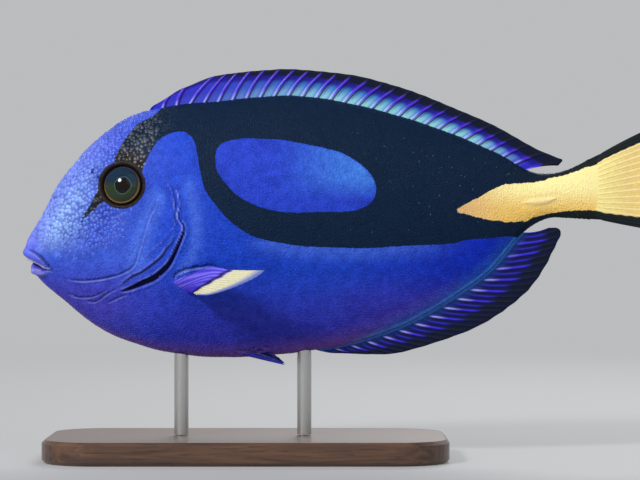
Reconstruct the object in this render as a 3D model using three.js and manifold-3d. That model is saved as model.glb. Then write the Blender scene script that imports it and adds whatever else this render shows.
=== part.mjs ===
// Regal blue tang (Paracanthurus hepatus), a still, life-size display model on a stand.
// Millimetres, +Z up. The fish faces -X, its left flank faces -Y, and its mirror plane is Y = 0.
// Inside the fish's own frame x runs back from the tip of the snout and z up from the lowest
// line of the belly. The finished group has its origin on the floor under the middle of the fish.

import * as THREE from 'three';
import { mergeVertices } from 'three/addons/utils/BufferGeometryUtils.js';
import Module from 'manifold-3d';

const wasm = await Module();
wasm.setup();

// Overall sizes
const totalLength = 247;
const bellyHeight = 35;
const seam = 0.3;
const smallestDetail = 0.02;

// Body sections from the snout to the root of the tail fin. Each is a line across the flank:
// upper end x, z, lower end x, z, and half the thickness of the fish there.
const sections = [
  [1.4, 36.6, 1.4, 36.6, 0],
  [1.8, 41.4, 3.4, 31.6, 2.9],
  [5.1, 48.1, 7.9, 25.9, 6.0],
  [12.1, 59.5, 15.6, 19.6, 9.2],
  [22.9, 72.8, 26.8, 10.8, 12.7],
  [36.6, 83.6, 40.1, 4.9, 15.8],
  [52.0, 88.2, 55.5, 1.2, 17.9],
  [72.3, 90.3, 73.7, 0.2, 18.6],
  [94.0, 92.0, 94.0, 1.6, 18.0],
  [115.0, 89.2, 115.0, 4.9, 16.4],
  [134.2, 84.3, 134.2, 11.5, 14.0],
  [151.7, 78.2, 151.0, 21.0, 10.8],
  [166.4, 71.8, 164.3, 30.8, 7.6],
  [177.3, 65.8, 174.5, 42.7, 5.2],
  [184.3, 64.6, 183.2, 48.5, 4.1],
  [192.0, 66.5, 192.3, 48.8, 3.2],
  [203.2, 71.9, 203.5, 48.1, 2.2],
];
const lastSection = sections.length - 1;
const headEnd = 6;
const headSteps = 4;
const trunkSteps = 3;
const girthSteps = 28;
const foreheadRoundness = 0.92;
const keelSharpness = 1.15;
const shoulderFullness = 0.08;

// Eye, orbit and nostrils
const eyeCentre = [36.2, 60.3];
const eyeRadius = 7.6;
const eyeBulge = 5;
const eyeSunk = 2.6;
const orbitRadius = 7.9;
const orbitRim = 1.0;
const nostrils = [[25.8, 65.2, 0.75], [27.6, 63.2, 0.55]];

// Mouth: lips are bent rolls that run round the snout from corner to corner
const mouthLine = [[-2, 35.4], [2.4, 33.3], [5.4, 32.1], [10.2, 30.8]];
const mouthOpening = [1.5, 1.3, 1.0, 0.35];
const upperLip = [[10.0, 6.3, 31.9], [6.2, 5.3, 34.7], [3.1, 3.3, 36.2], [1.5, 0, 37.0]];
const upperLipRadii = [0.5, 1.2, 1.4, 1.4];
const lowerLip = [[9.4, 5.5, 30.0], [7.0, 4.1, 29.8], [5.2, 2.7, 30.4], [4.0, 0, 30.9]];
const lowerLipRadii = [0.45, 1.0, 1.2, 1.25];

// Gill cover: its free margin parts the head from the torso
const gillMargin = [
  [36, 93], [41.5, 86.1], [45.9, 75.7], [52.1, 64.7], [54.2, 57.8], [55.8, 50.6], [58.2, 45.1],
  [57.6, 41.3], [54.5, 34.8], [49.4, 29.2], [42.5, 25.3], [35.9, 23.4], [28.7, 18.9], [16, 8],
];
const coverLift = 0.7;
const coverReach = 4;
const gillSlit = [[57.0, 47.5], [58.4, 43.5], [56.7, 38.0], [53.0, 32.4], [46.6, 27.2], [37.0, 23.2]];
const gillSlitRadii = [0.4, 0.8, 1.1, 1.5, 1.1, 0.3];
const gillFold = [[54.7, 45.4], [53.2, 38.9], [50.3, 36.1], [45.6, 31.7], [42.8, 29.6], [34.6, 26.1]];
const gillFoldRadii = [0.25, 0.45, 0.5, 0.5, 0.45, 0.2];
const cheekLine = [
  [16.1, 27.8], [26.8, 27.8], [36.5, 30.0], [40.2, 33.6], [43.0, 40.5], [45.5, 47.9], [47.6, 53.0],
];
const cheekLineRadii = [0.2, 0.4, 0.5, 0.5, 0.45, 0.35, 0.15];

// Line across the tail root, and the folded spine that lies in a groove on each side of it
const tailCut = [[187.5, 74], [179.0, 65.6], [174.8, 55], [177.0, 45.0], [181, 38]];
const spinePlace = [181.6, 54.8];
const spineHalfSize = [5.6, 0.75, 1.1];
const spineTilt = 0.12;

// Fins on the mirror plane. Each key ray has its place along the sections and its tip x, z.
const dorsalKeys = [
  [5.72, 52.7, 92.9], [6.1, 63.9, 98.2], [6.65, 76.5, 100.4], [7.55, 96.1, 101.1],
  [8.67, 120.6, 98.2], [9.9, 145.8, 90.1], [11.1, 167.5, 80.7], [12.2, 183.2, 71.5],
  [12.98, 189.7, 69.2],
];
const dorsalRays = 29;
const dorsalSpines = 9;
const analKeys = [
  [8.45, 113.2, 1.8], [9.0, 123.8, 1.3], [9.65, 141.5, 4.3], [10.1, 153.5, 8.4],
  [10.6, 164.5, 13.9], [11.1, 173.1, 20.3], [11.65, 179.8, 27.2], [12.3, 184.6, 35.2],
  [12.6, 186.7, 38.9], [12.85, 188.6, 43.2], [12.97, 187.4, 45.5],
];
const analRays = 21;
const tailKeys = [
  [0, 246.9, 89.9], [0.12, 245.2, 84.7], [0.3, 241.3, 75.6], [0.5, 239.6, 66.5],
  [0.7, 240.3, 56.7], [0.88, 243.1, 46.9], [1, 244.8, 41.3],
];
const tailRays = 16;
const finDepth = 0.22;
const webHalf = 0.32;
const rayHalf = 0.34;
const rayShare = 0.2;
const tailRootHalf = 1.9;

// Paired fins of the left side, which the right side mirrors
const pectoralRoot = [[56.6, 29.8], [57.7, 27.9], [58.8, 25.8], [59.8, 23.8]];
const pectoralTips = [
  [86.1, 41, 31.1], [84.4, 41, 29.6], [80.2, 39, 27.3], [74.4, 35, 24.9], [67.6, 30, 22.8],
  [62.7, 25, 22.6],
];
const pectoralArch = 2.6;
const pectoralRays = 13;
const pelvicRoot = [[77.6, 2.6, 1.4], [80.4, 2.9, 1.3], [83.2, 3.2, 1.2]];
const pelvicTips = [[92.3, 6.4, -2.0], [89.9, 6.0, -0.8], [87.1, 5.4, 0.1]];
const pelvicRays = 4;

// Stand
const baseLength = 140;
const baseWidth = 74;
const baseHeight = 8;
const baseCorner = 18;
const baseBevel = 1.2;
const baseCentre = 79;
const rodRadius = 2.5;
const rodPlaces = { stand_rod_front: 56, stand_rod_rear: 99 };
const rodInside = 12;

// Materials
function paint(colour, roughness, metalness = 0) {
  return new THREE.MeshStandardMaterial({ color: colour, roughness, metalness });
}
const blueSkin = paint(0x2b45c8, 0.4);
const blackSkin = paint(0x0e1c33, 0.45);
const yellowSkin = paint(0xf0d878, 0.45);
const blueFin = paint(0x3a36c4, 0.5);
const wetEye = paint(0x1a2326, 0.08);
const dullSteel = paint(0xb4b6b8, 0.35, 1);
const darkWood = paint(0x4a3322, 0.5);

// Small maths
function mix(a, b, t) {
  return a + (b - a) * t;
}

function smooth(low, high, value) {
  const t = Math.min(1, Math.max(0, (value - low) / (high - low)));
  return t * t * (3 - 2 * t);
}

// Value of a smooth curve through rows[k][column] at the real-valued row number place
function alongRows(rows, place, column) {
  const last = rows.length - 1;
  const k = Math.min(last - 1, Math.max(0, Math.floor(place)));
  const t = place - k;
  const p1 = rows[k][column];
  const p2 = rows[k + 1][column];
  const p0 = k > 0 ? rows[k - 1][column] : 2 * p1 - p2;
  const p3 = k + 2 <= last ? rows[k + 2][column] : 2 * p2 - p1;
  const bend = 2 * p0 - 5 * p1 + 4 * p2 - p3;
  const twist = 3 * p1 - p0 - 3 * p2 + p3;
  return p1 + 0.5 * t * (p2 - p0 + t * (bend + t * twist));
}

// The body's section line and half thickness at a place from 0 at the snout to lastSection
function sectionAt(place) {
  return {
    topX: alongRows(sections, place, 0),
    topZ: alongRows(sections, place, 1),
    lowX: alongRows(sections, place, 2),
    lowZ: alongRows(sections, place, 3),
    half: Math.max(0, alongRows(sections, place, 4)),
    sharpness: mix(foreheadRoundness, keelSharpness, smooth(3, 8, place)),
  };
}

// A point of a section: angle 0 is its upper end, a quarter turn the right flank (+Y)
function sectionPoint(section, angle) {
  const up = Math.cos(angle);
  const across = Math.sin(angle);
  const x = mix(section.lowX, section.topX, (1 + up) / 2);
  const z = mix(section.lowZ, section.topZ, (1 + up) / 2);
  const swell = Math.abs(across) ** section.sharpness * (1 + shoulderFullness * up);
  return new THREE.Vector3(x, Math.sign(across) * section.half * swell, z);
}

// Half thickness of the body at a place x, z on the flank, by halving the range of sections
function flankAt(x, z) {
  let near = 0.02;
  let far = lastSection;
  for (let k = 0; k < 40; k += 1) {
    const middle = (near + far) / 2;
    const section = sectionAt(middle);
    const rise = (z - section.lowZ) / (section.topZ - section.lowZ);
    if (mix(section.lowX, section.topX, rise) < x) {
      near = middle;
    } else {
      far = middle;
    }
  }
  const section = sectionAt(near);
  const rise = (z - section.lowZ) / (section.topZ - section.lowZ);
  const angle = Math.acos(Math.min(1, Math.max(-1, 2 * rise - 1)));
  return sectionPoint(section, angle).y;
}

// Outward direction of the left flank (-Y) at x, z, from the slope of its thickness
function flankNormal(x, z) {
  const step = 0.5;
  const slopeX = (flankAt(x + step, z) - flankAt(x - step, z)) / (2 * step);
  const slopeZ = (flankAt(x, z + step) - flankAt(x, z - step)) / (2 * step);
  return new THREE.Vector3(-slopeX, -1, -slopeZ).normalize();
}

// Closed meshes and solids
function meshFrom(points, faces) {
  const geometry = new THREE.BufferGeometry();
  geometry.setAttribute('position', new THREE.Float32BufferAttribute(points, 3));
  geometry.setIndex(faces);
  return geometry;
}

function bare(geometry) {
  const copy = geometry.clone();
  copy.deleteAttribute('normal');
  copy.deleteAttribute('uv');
  return mergeVertices(copy, 1e-4);
}

function solidOf(geometry) {
  const closed = bare(geometry);
  const faces = Uint32Array.from(closed.index.array);
  const vertProperties = Float32Array.from(closed.attributes.position.array);
  const solid = new wasm.Manifold(new wasm.Mesh({ numProp: 3, vertProperties, triVerts: faces }));
  if (solid.volume() >= 0) {
    return solid;
  }
  faces.reverse();
  return new wasm.Manifold(new wasm.Mesh({ numProp: 3, vertProperties, triVerts: faces }));
}

function largest(solid) {
  const pieces = solid.decompose();
  return pieces.reduce((best, piece) => (piece.volume() > best.volume() ? piece : best));
}

// The solid's mesh, without the slivers that cutting leaves
function geometryOf(solid) {
  const mesh = solid.simplify(smallestDetail).getMesh();
  return meshFrom(Array.from(mesh.vertProperties), Array.from(mesh.triVerts));
}

function mirrored(geometry) {
  const copy = geometry.clone();
  copy.scale(1, -1, 1);
  const faces = Array.from(copy.index.array);
  copy.setIndex(faces.reverse());
  return copy;
}

// A closed skin through the body's sections, with a pole at the snout and a flat end at the
// tail. lift(x, z) moves its flanks outward.
function bodyGeometry(lift) {
  const places = [];
  for (let k = 1; k <= headEnd * headSteps; k += 1) {
    places.push(k / headSteps);
  }
  for (let k = 1; k <= (lastSection - headEnd) * trunkSteps; k += 1) {
    places.push(headEnd + k / trunkSteps);
  }
  const points = [sections[0][0], 0, sections[0][1]];
  const faces = [];
  places.forEach((place) => {
    const section = sectionAt(place);
    for (let j = 0; j < girthSteps; j += 1) {
      const angle = (2 * Math.PI * j) / girthSteps;
      const point = sectionPoint(section, angle);
      point.y += Math.sin(angle) * lift(point.x, point.z);
      points.push(point.x, point.y, point.z);
    }
  });
  const ringStart = (k) => 1 + k * girthSteps;
  for (let j = 0; j < girthSteps; j += 1) {
    const next = (j + 1) % girthSteps;
    faces.push(0, ringStart(0) + j, ringStart(0) + next);
    for (let k = 0; k + 1 < places.length; k += 1) {
      const a = ringStart(k) + j;
      const b = ringStart(k) + next;
      const c = ringStart(k + 1) + j;
      const d = ringStart(k + 1) + next;
      faces.push(a, c, b, b, c, d);
    }
  }
  const endCentre = points.length / 3;
  const end = sectionPoint(sectionAt(lastSection), Math.PI / 2);
  points.push(end.x, 0, end.z);
  for (let j = 0; j < girthSteps; j += 1) {
    const last = ringStart(places.length - 1);
    faces.push(endCentre, last + ((j + 1) % girthSteps), last + j);
  }
  return meshFrom(points, faces);
}

// The same mesh with every vertex moved outward by a distance, which leaves a seam beside it
function grown(geometry, distance) {
  const copy = bare(geometry);
  copy.computeVertexNormals();
  const place = copy.attributes.position;
  const normal = copy.attributes.normal;
  for (let k = 0; k < place.count; k += 1) {
    place.setXYZ(
      k,
      place.getX(k) + distance * normal.getX(k),
      place.getY(k) + distance * normal.getY(k),
      place.getZ(k) + distance * normal.getZ(k),
    );
  }
  return copy;
}

// A round roll along points with a radius at each, closed by a point at both ends
function rollGeometry(points, radii, steps, sides) {
  const path = new THREE.CatmullRomCurve3(points);
  const frames = path.computeFrenetFrames(steps, false);
  const vertices = [];
  const faces = [];
  const radiusRows = radii.map((radius) => [radius]);
  for (let k = 0; k <= steps; k += 1) {
    const centre = path.getPoint(k / steps);
    const place = (k / steps) * (radii.length - 1);
    const radius = alongRows(radiusRows, place, 0);
    for (let j = 0; j < sides; j += 1) {
      const angle = (2 * Math.PI * j) / sides;
      const spoke = frames.normals[k].clone().multiplyScalar(Math.cos(angle) * radius);
      spoke.addScaledVector(frames.binormals[k], Math.sin(angle) * radius);
      spoke.add(centre);
      vertices.push(spoke.x, spoke.y, spoke.z);
    }
  }
  for (let k = 0; k < steps; k += 1) {
    for (let j = 0; j < sides; j += 1) {
      const a = k * sides + j;
      const b = k * sides + ((j + 1) % sides);
      faces.push(a, b, a + sides, b, b + sides, a + sides);
    }
  }
  [0, 1].forEach((end) => {
    const tip = path.getPoint(end);
    const tangent = frames.tangents[end * steps].clone();
    tip.addScaledVector(tangent, (end * 2 - 1) * radii[end * (radii.length - 1)] * 0.6);
    const tipIndex = vertices.length / 3;
    vertices.push(tip.x, tip.y, tip.z);
    const start = end * steps * sides;
    for (let j = 0; j < sides; j += 1) {
      const a = start + j;
      const b = start + ((j + 1) % sides);
      faces.push(...(end === 1 ? [tipIndex, a, b] : [tipIndex, b, a]));
    }
  });
  return meshFrom(vertices, faces);
}

// A roll that follows x, z places on both flanks, returned as one solid for each side
function flankRolls(places, radii, steps, sides) {
  return [-1, 1].map((side) => {
    const points = places.map(([x, z]) => new THREE.Vector3(x, side * flankAt(x, z), z));
    return solidOf(rollGeometry(points, radii, steps, sides));
  });
}

// A wall of even or varying thickness along x, z places, standing through the whole fish
function wallSolid(places, halfWidths) {
  const edge = places.map(([x, z], k) => {
    const before = places[Math.max(0, k - 1)];
    const after = places[Math.min(places.length - 1, k + 1)];
    const along = new THREE.Vector2(after[0] - before[0], after[1] - before[1]).normalize();
    return { x, z, nx: -along.y * halfWidths[k], nz: along.x * halfWidths[k] };
  });
  const outline = edge.map((p) => new THREE.Vector2(p.x + p.nx, p.z + p.nz));
  edge.reverse().forEach((p) => outline.push(new THREE.Vector2(p.x - p.nx, p.z - p.nz)));
  const reach = 40;
  const geometry = new THREE.ExtrudeGeometry(new THREE.Shape(outline), {
    depth: 2 * reach,
    bevelEnabled: false,
    steps: 1,
  });
  geometry.rotateX(Math.PI / 2);
  geometry.translate(0, reach, 0);
  return solidOf(geometry);
}

// Places along a smooth curve through x, z points
function smoothPlaces(points, steps) {
  const places = [];
  for (let k = 0; k <= steps; k += 1) {
    const place = (k / steps) * (points.length - 1);
    places.push([alongRows(points, place, 0), alongRows(points, place, 1)]);
  }
  return places;
}

// A fin: columns in pairs of web and one of ray, rows from the sunk root to the margin.
// pointAt(share, reach) gives the middle sheet for share 0..1 over the rays and reach 0..1.
function finGeometry({ rays, rows, pointAt, normalAt, webAt, ridgeAt, notch }) {
  const columns = [];
  for (let ray = 0; ray < rays; ray += 1) {
    const offsets = [-rayShare, 0, rayShare];
    offsets.forEach((offset) => {
      const place = ray + offset;
      if (place >= 0 && place <= rays - 1) {
        columns.push({ share: place / (rays - 1), isRay: offset === 0 });
      }
    });
  }
  const points = [];
  const half = [];
  columns.forEach(({ share, isRay }) => {
    rows.forEach((row) => {
      const reach = isRay || row <= 0 ? row : row * (1 - notch(share) * smooth(0.5, 1, row));
      const middle = pointAt(share, reach);
      const thick = webAt(share, reach) + (isRay ? ridgeAt(share, reach) : 0);
      points.push(middle);
      half.push(normalAt(share, reach).multiplyScalar(thick));
    });
  });
  const vertices = [];
  [1, -1].forEach((side) => {
    points.forEach((point, k) => {
      vertices.push(
        point.x + side * half[k].x,
        point.y + side * half[k].y,
        point.z + side * half[k].z,
      );
    });
  });
  const faces = [];
  const back = points.length;
  const rowCount = rows.length;
  const at = (column, row) => column * rowCount + row;
  for (let c = 0; c + 1 < columns.length; c += 1) {
    for (let r = 0; r + 1 < rowCount; r += 1) {
      const corners = [at(c, r), at(c + 1, r), at(c + 1, r + 1), at(c, r + 1)];
      faces.push(corners[0], corners[1], corners[2], corners[0], corners[2], corners[3]);
      const other = corners.map((corner) => corner + back);
      faces.push(other[0], other[2], other[1], other[0], other[3], other[2]);
    }
  }
  const rim = [];
  for (let c = 0; c < columns.length; c += 1) {
    rim.push(at(c, 0));
  }
  for (let r = 1; r < rowCount; r += 1) {
    rim.push(at(columns.length - 1, r));
  }
  for (let c = columns.length - 2; c >= 0; c -= 1) {
    rim.push(at(c, rowCount - 1));
  }
  for (let r = rowCount - 2; r >= 1; r -= 1) {
    rim.push(at(0, r));
  }
  rim.forEach((a, k) => {
    const b = rim[(k + 1) % rim.length];
    faces.push(a, a + back, b, b, a + back, b + back);
  });
  return meshFrom(vertices, faces);
}

// A fin on the mirror plane whose rays run from the body's edge to the tips of its key rays
function medianFin(keys, rays, rows, rootAt, options) {
  const pointAt = (share, reach) => {
    const place = share * (keys.length - 1);
    const root = rootAt(alongRows(keys, place, 0));
    const tipX = alongRows(keys, place, 1);
    const tipZ = alongRows(keys, place, 2);
    const bow = options.bow(share) * 4 * reach * (1 - reach);
    const length = Math.hypot(tipX - root[0], tipZ - root[1]);
    const x = mix(root[0], tipX, reach) - (bow * (tipZ - root[1])) / length;
    const z = mix(root[1], tipZ, reach) + (bow * (tipX - root[0])) / length;
    return new THREE.Vector3(x, 0, z);
  };
  return finGeometry({
    rays,
    rows,
    pointAt,
    normalAt: () => new THREE.Vector3(0, 1, 0),
    webAt: options.webAt,
    ridgeAt: (share, reach) => rayHalf * (1 - 0.6 * Math.max(0, reach)),
    notch: options.notch,
  });
}

// Fins on the mirror plane
const finRows = [-finDepth, 0, 0.33, 0.68, 1];

function dorsalFinGeometry() {
  const rootAt = (place) => {
    const section = sectionAt(place);
    return [section.topX, section.topZ];
  };
  return medianFin(dorsalKeys, dorsalRays, finRows, rootAt, {
    bow: () => 0.5,
    webAt: () => webHalf,
    notch: (share) => (share < dorsalSpines / dorsalRays ? 0.05 : 0.02),
  });
}

function analFinGeometry() {
  const rootAt = (place) => {
    const section = sectionAt(place);
    return [section.lowX, section.lowZ];
  };
  return medianFin(analKeys, analRays, finRows, rootAt, {
    bow: () => -0.5,
    webAt: () => webHalf,
    notch: () => 0.02,
  });
}

function tailFinGeometry() {
  const end = sectionAt(lastSection);
  const rootAt = (share) => [mix(end.topX, end.lowX, share), mix(end.topZ, end.lowZ, share)];
  const rows = [-0.06, 0.004, 0.16, 0.4, 0.7, 1];
  return medianFin(tailKeys, tailRays, rows, rootAt, {
    bow: (share) => 0.9 * (share - 0.5),
    webAt: (share, reach) => {
      const middle = Math.sin(Math.PI * Math.min(1, Math.max(0, share))) ** 0.8;
      return mix(webHalf + (tailRootHalf - webHalf) * middle, webHalf, smooth(-0.05, 0.3, reach));
    },
    notch: () => 0.012,
  });
}

// Paired fins of the left side
function pairedFin({ rays, rows, rootRows, tipRows, arch, web, ridge }) {
  const pointAt = (share, reach) => {
    const rootPlace = share * (rootRows.length - 1);
    const tipPlace = share * (tipRows.length - 1);
    const root = [0, 1, 2].map((column) => alongRows(rootRows, rootPlace, column));
    const tip = [0, 1, 2].map((column) => alongRows(tipRows, tipPlace, column));
    const rise = arch * (1 - share) * 4 * reach * (1 - reach);
    return new THREE.Vector3(
      mix(root[0], tip[0], reach),
      -mix(root[1], tip[1], reach),
      mix(root[2], tip[2], reach) + rise,
    );
  };
  const normalAt = (share, reach) => {
    const step = 0.02;
    const s0 = Math.max(0, share - step);
    const s1 = Math.min(1, share + step);
    const acrossRays = pointAt(s1, reach + 0.1).sub(pointAt(s0, reach + 0.1));
    const alongRay = pointAt(share, reach + step).sub(pointAt(share, reach - step));
    return acrossRays.cross(alongRay).normalize();
  };
  return finGeometry({
    rays,
    rows,
    pointAt,
    normalAt,
    webAt: () => web,
    ridgeAt: (share, reach) => ridge * (1 - 0.5 * Math.max(0, reach)),
    notch: () => 0.03,
  });
}

function pectoralFinGeometry() {
  const rootRows = pectoralRoot.map(([x, z]) => [x, flankAt(x, z), z]);
  return pairedFin({
    rays: pectoralRays,
    rows: [-0.12, 0.06, 0.34, 0.66, 1],
    rootRows,
    tipRows: pectoralTips,
    arch: pectoralArch,
    web: webHalf,
    ridge: 0.25,
  });
}

function pelvicFinGeometry() {
  return pairedFin({
    rays: pelvicRays,
    rows: [-0.25, 0.1, 0.4, 0.7, 1],
    rootRows: pelvicRoot,
    tipRows: pelvicTips,
    arch: 0,
    web: 0.36,
    ridge: 0.3,
  });
}

// Eyes
function placedOnFlank(geometry, x, z, depth) {
  const outward = flankNormal(x, z);
  const turn = new THREE.Quaternion();
  turn.setFromUnitVectors(new THREE.Vector3(0, -1, 0), outward);
  geometry.applyQuaternion(turn);
  const centre = new THREE.Vector3(x, -flankAt(x, z), z).addScaledVector(outward, -depth);
  geometry.translate(centre.x, centre.y, centre.z);
  return geometry;
}

function eyeGeometry(margin) {
  const geometry = new THREE.SphereGeometry(1, 20, 10);
  geometry.rotateX(Math.PI / 2);
  geometry.scale(eyeRadius + margin, eyeBulge + margin, eyeRadius + margin);
  return placedOnFlank(geometry, eyeCentre[0], eyeCentre[1], eyeSunk);
}

function orbitGeometry() {
  const geometry = new THREE.TorusGeometry(orbitRadius, orbitRim, 6, 24);
  geometry.rotateX(Math.PI / 2);
  return placedOnFlank(geometry, eyeCentre[0], eyeCentre[1], orbitRim * 0.45);
}

function nostrilGeometry([x, z, radius]) {
  const geometry = new THREE.SphereGeometry(1, 8, 6);
  geometry.scale(radius * 1.3, radius * 1.6, radius);
  return placedOnFlank(geometry, x, z, 0);
}

function bothSides(geometry) {
  return [solidOf(geometry), solidOf(mirrored(bare(geometry)))];
}

// Lips
function lipSolid(halfPath, radii) {
  const left = halfPath.map(([x, y, z]) => new THREE.Vector3(x, -y, z));
  const right = halfPath.slice(0, -1).map(([x, y, z]) => new THREE.Vector3(x, y, z));
  const points = left.concat(right.reverse());
  const allRadii = radii.concat(radii.slice(0, -1).reverse());
  return solidOf(rollGeometry(points, allRadii, 18, 7));
}

// Flesh: one body, parted at the gill cover and at the root of the tail
const noLift = () => 0;
const marginPlaces = smoothPlaces(gillMargin, 32);

function coverLiftAt(x, z) {
  const distances = marginPlaces.map(([px, pz]) => Math.hypot(px - x, pz - z));
  const nearest = Math.min(...distances);
  const lowerPart = smooth(84, 62, z) * smooth(16, 26, z);
  return coverLift * lowerPart * Math.exp(-((nearest / coverReach) ** 2));
}

const trunkGeometry = bodyGeometry(noLift);
const bodyWithSeam = solidOf(grown(trunkGeometry, seam + 0.03));
const gillWall = wallSolid(marginPlaces, marginPlaces.map(() => seam / 2));
const tailPlaces = smoothPlaces(tailCut, 16);
const tailWall = wallSolid(tailPlaces, tailPlaces.map(() => seam / 2));

function sortedPieces(solid) {
  const pieces = solid.decompose().filter((piece) => piece.volume() > 1);
  return pieces.sort((a, b) => a.boundingBox().min[0] - b.boundingBox().min[0]);
}

function headSolid() {
  const raised = solidOf(bodyGeometry(coverLiftAt)).subtract(gillWall);
  let head = sortedPieces(raised)[0];
  head = head.add(lipSolid(upperLip, upperLipRadii));
  head = head.add(lipSolid(lowerLip, lowerLipRadii));
  const gape = smoothPlaces(mouthLine, 9);
  const gapeRows = mouthOpening.map((opening) => [opening / 2]);
  const gapeWidths = gape.map((place, k) => alongRows(gapeRows, k / 3, 0));
  head = head.subtract(wallSolid(gape, gapeWidths));
  bothSides(orbitGeometry()).forEach((ring) => {
    head = head.add(ring);
  });
  bothSides(eyeGeometry(seam)).forEach((socket) => {
    head = head.subtract(socket);
  });
  nostrils.forEach((nostril) => {
    bothSides(nostrilGeometry(nostril)).forEach((pit) => {
      head = head.subtract(pit);
    });
  });
  flankRolls(cheekLine, cheekLineRadii, 14, 5).forEach((groove) => {
    head = head.subtract(groove);
  });
  flankRolls(gillFold, gillFoldRadii, 12, 5).forEach((groove) => {
    head = head.subtract(groove);
  });
  return largest(head.subtract(gillWall));
}

function torsoSolid() {
  const behindGills = sortedPieces(solidOf(trunkGeometry).subtract(gillWall))[1];
  let torso = sortedPieces(behindGills.subtract(tailWall))[0];
  flankRolls(gillSlit, gillSlitRadii, 14, 6).forEach((slit) => {
    torso = torso.subtract(slit);
  });
  return largest(torso);
}

function tailSolid() {
  const behindTorso = sortedPieces(solidOf(trunkGeometry).subtract(tailWall))[1];
  const spine = new THREE.SphereGeometry(1, 16, 8);
  spine.scale(...spineHalfSize);
  spine.rotateY(-spineTilt);
  placedOnFlank(spine, spinePlace[0], spinePlace[1], 0.15);
  let tail = behindTorso;
  bothSides(spine).forEach((blade) => {
    tail = tail.add(blade.subtract(tailWall));
  });
  return largest(tail);
}

function clearOfBody(geometry) {
  return largest(solidOf(geometry).subtract(bodyWithSeam));
}

// Stand
function standBaseGeometry() {
  const halfLength = baseLength / 2 - baseBevel;
  const halfWidth = baseWidth / 2 - baseBevel;
  const outline = new THREE.Shape();
  const turn = (x, y, start) => outline.absarc(x, y, baseCorner, start, start + Math.PI / 2);
  turn(halfLength - baseCorner, halfWidth - baseCorner, 0);
  turn(baseCorner - halfLength, halfWidth - baseCorner, Math.PI / 2);
  turn(baseCorner - halfLength, baseCorner - halfWidth, Math.PI);
  turn(halfLength - baseCorner, baseCorner - halfWidth, 1.5 * Math.PI);
  const geometry = new THREE.ExtrudeGeometry(outline, {
    depth: baseHeight - 2 * baseBevel,
    bevelEnabled: true,
    bevelSize: baseBevel,
    bevelThickness: baseBevel,
    bevelSegments: 1,
    curveSegments: 5,
  });
  geometry.translate(baseCentre, 0, baseBevel - bellyHeight);
  return geometry;
}

function rodGeometry(x) {
  const bottom = baseHeight - bellyHeight + seam;
  const length = rodInside - bottom;
  const geometry = new THREE.CylinderGeometry(rodRadius, rodRadius, length, 24);
  geometry.rotateX(Math.PI / 2);
  geometry.translate(x, 0, bottom + length / 2);
  return geometry;
}

// Scene graph
const part = new THREE.Group();
part.position.set(-totalLength / 2, 0, bellyHeight);

function addPiece(name, geometry, material) {
  const mesh = new THREE.Mesh(geometry, material);
  mesh.name = name;
  part.add(mesh);
}

addPiece('head', geometryOf(headSolid()), blueSkin);
addPiece('torso', geometryOf(torsoSolid()), blackSkin);
addPiece('tail', geometryOf(tailSolid()), yellowSkin);
addPiece('eye_left', bare(eyeGeometry(0)), wetEye);
addPiece('eye_right', mirrored(bare(eyeGeometry(0))), wetEye);
addPiece('dorsal_fin', geometryOf(clearOfBody(dorsalFinGeometry())), blueFin);
addPiece('anal_fin', geometryOf(clearOfBody(analFinGeometry())), blueFin);
addPiece('caudal_fin', geometryOf(clearOfBody(tailFinGeometry())), yellowSkin);

const pectoralFin = geometryOf(clearOfBody(pectoralFinGeometry()));
addPiece('pectoral_fin_left', pectoralFin, blueFin);
addPiece('pectoral_fin_right', mirrored(pectoralFin), blueFin);

const pelvicFin = geometryOf(clearOfBody(pelvicFinGeometry()));
addPiece('pelvic_fin_left', pelvicFin, blueFin);
addPiece('pelvic_fin_right', mirrored(pelvicFin), blueFin);

addPiece('stand_base', bare(standBaseGeometry()), darkWood);
Object.entries(rodPlaces).forEach(([name, x]) => {
  addPiece(name, geometryOf(clearOfBody(rodGeometry(x))), dullSteel);
});

export default part;
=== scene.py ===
import math
import bmesh
import bpy
import numpy as np
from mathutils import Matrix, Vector


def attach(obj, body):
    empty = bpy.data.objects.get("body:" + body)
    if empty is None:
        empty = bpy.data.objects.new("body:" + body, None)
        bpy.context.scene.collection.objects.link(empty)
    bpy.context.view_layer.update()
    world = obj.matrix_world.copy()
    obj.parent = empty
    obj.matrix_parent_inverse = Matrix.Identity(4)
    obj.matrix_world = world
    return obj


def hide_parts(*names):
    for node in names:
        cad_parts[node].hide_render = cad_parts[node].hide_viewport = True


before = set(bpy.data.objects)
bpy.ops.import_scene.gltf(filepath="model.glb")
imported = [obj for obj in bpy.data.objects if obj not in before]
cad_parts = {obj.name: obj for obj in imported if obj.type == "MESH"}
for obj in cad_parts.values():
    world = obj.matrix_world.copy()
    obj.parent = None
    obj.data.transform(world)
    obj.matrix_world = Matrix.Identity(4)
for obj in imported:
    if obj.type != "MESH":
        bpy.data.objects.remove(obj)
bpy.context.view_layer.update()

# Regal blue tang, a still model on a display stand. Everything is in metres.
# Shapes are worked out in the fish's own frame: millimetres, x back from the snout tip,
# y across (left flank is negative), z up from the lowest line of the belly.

mm = 0.001
snoutX = -123.5      # world x of the snout tip, mm
bellyZ = 35.0        # world z of the belly line, mm


def toWorld(points):
    # from the fish's frame to the scene's
    return (points + np.array([snoutX, 0.0, bellyZ])) * mm


def mix(a, b, t):
    # a at 0, b at 1
    return a + (b - a) * t


def smooth(low, high, value):
    # 0 up to low, 1 from high, with an S-shaped rise between; low may lie above high
    t = np.clip((value - low) / (high - low), 0, 1)
    return t * t * (3 - 2 * t)


def bell(value, width):
    # 1 at 0, falling as exp of minus the square
    return np.exp(-(value / width) ** 2)


def linear(*rgb):
    # a display colour of 0..255 as linear light
    c = np.array(rgb, float) / 255
    return np.where(c <= 0.04045, c / 12.92, ((c + 0.055) / 1.055) ** 2.4)


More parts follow.
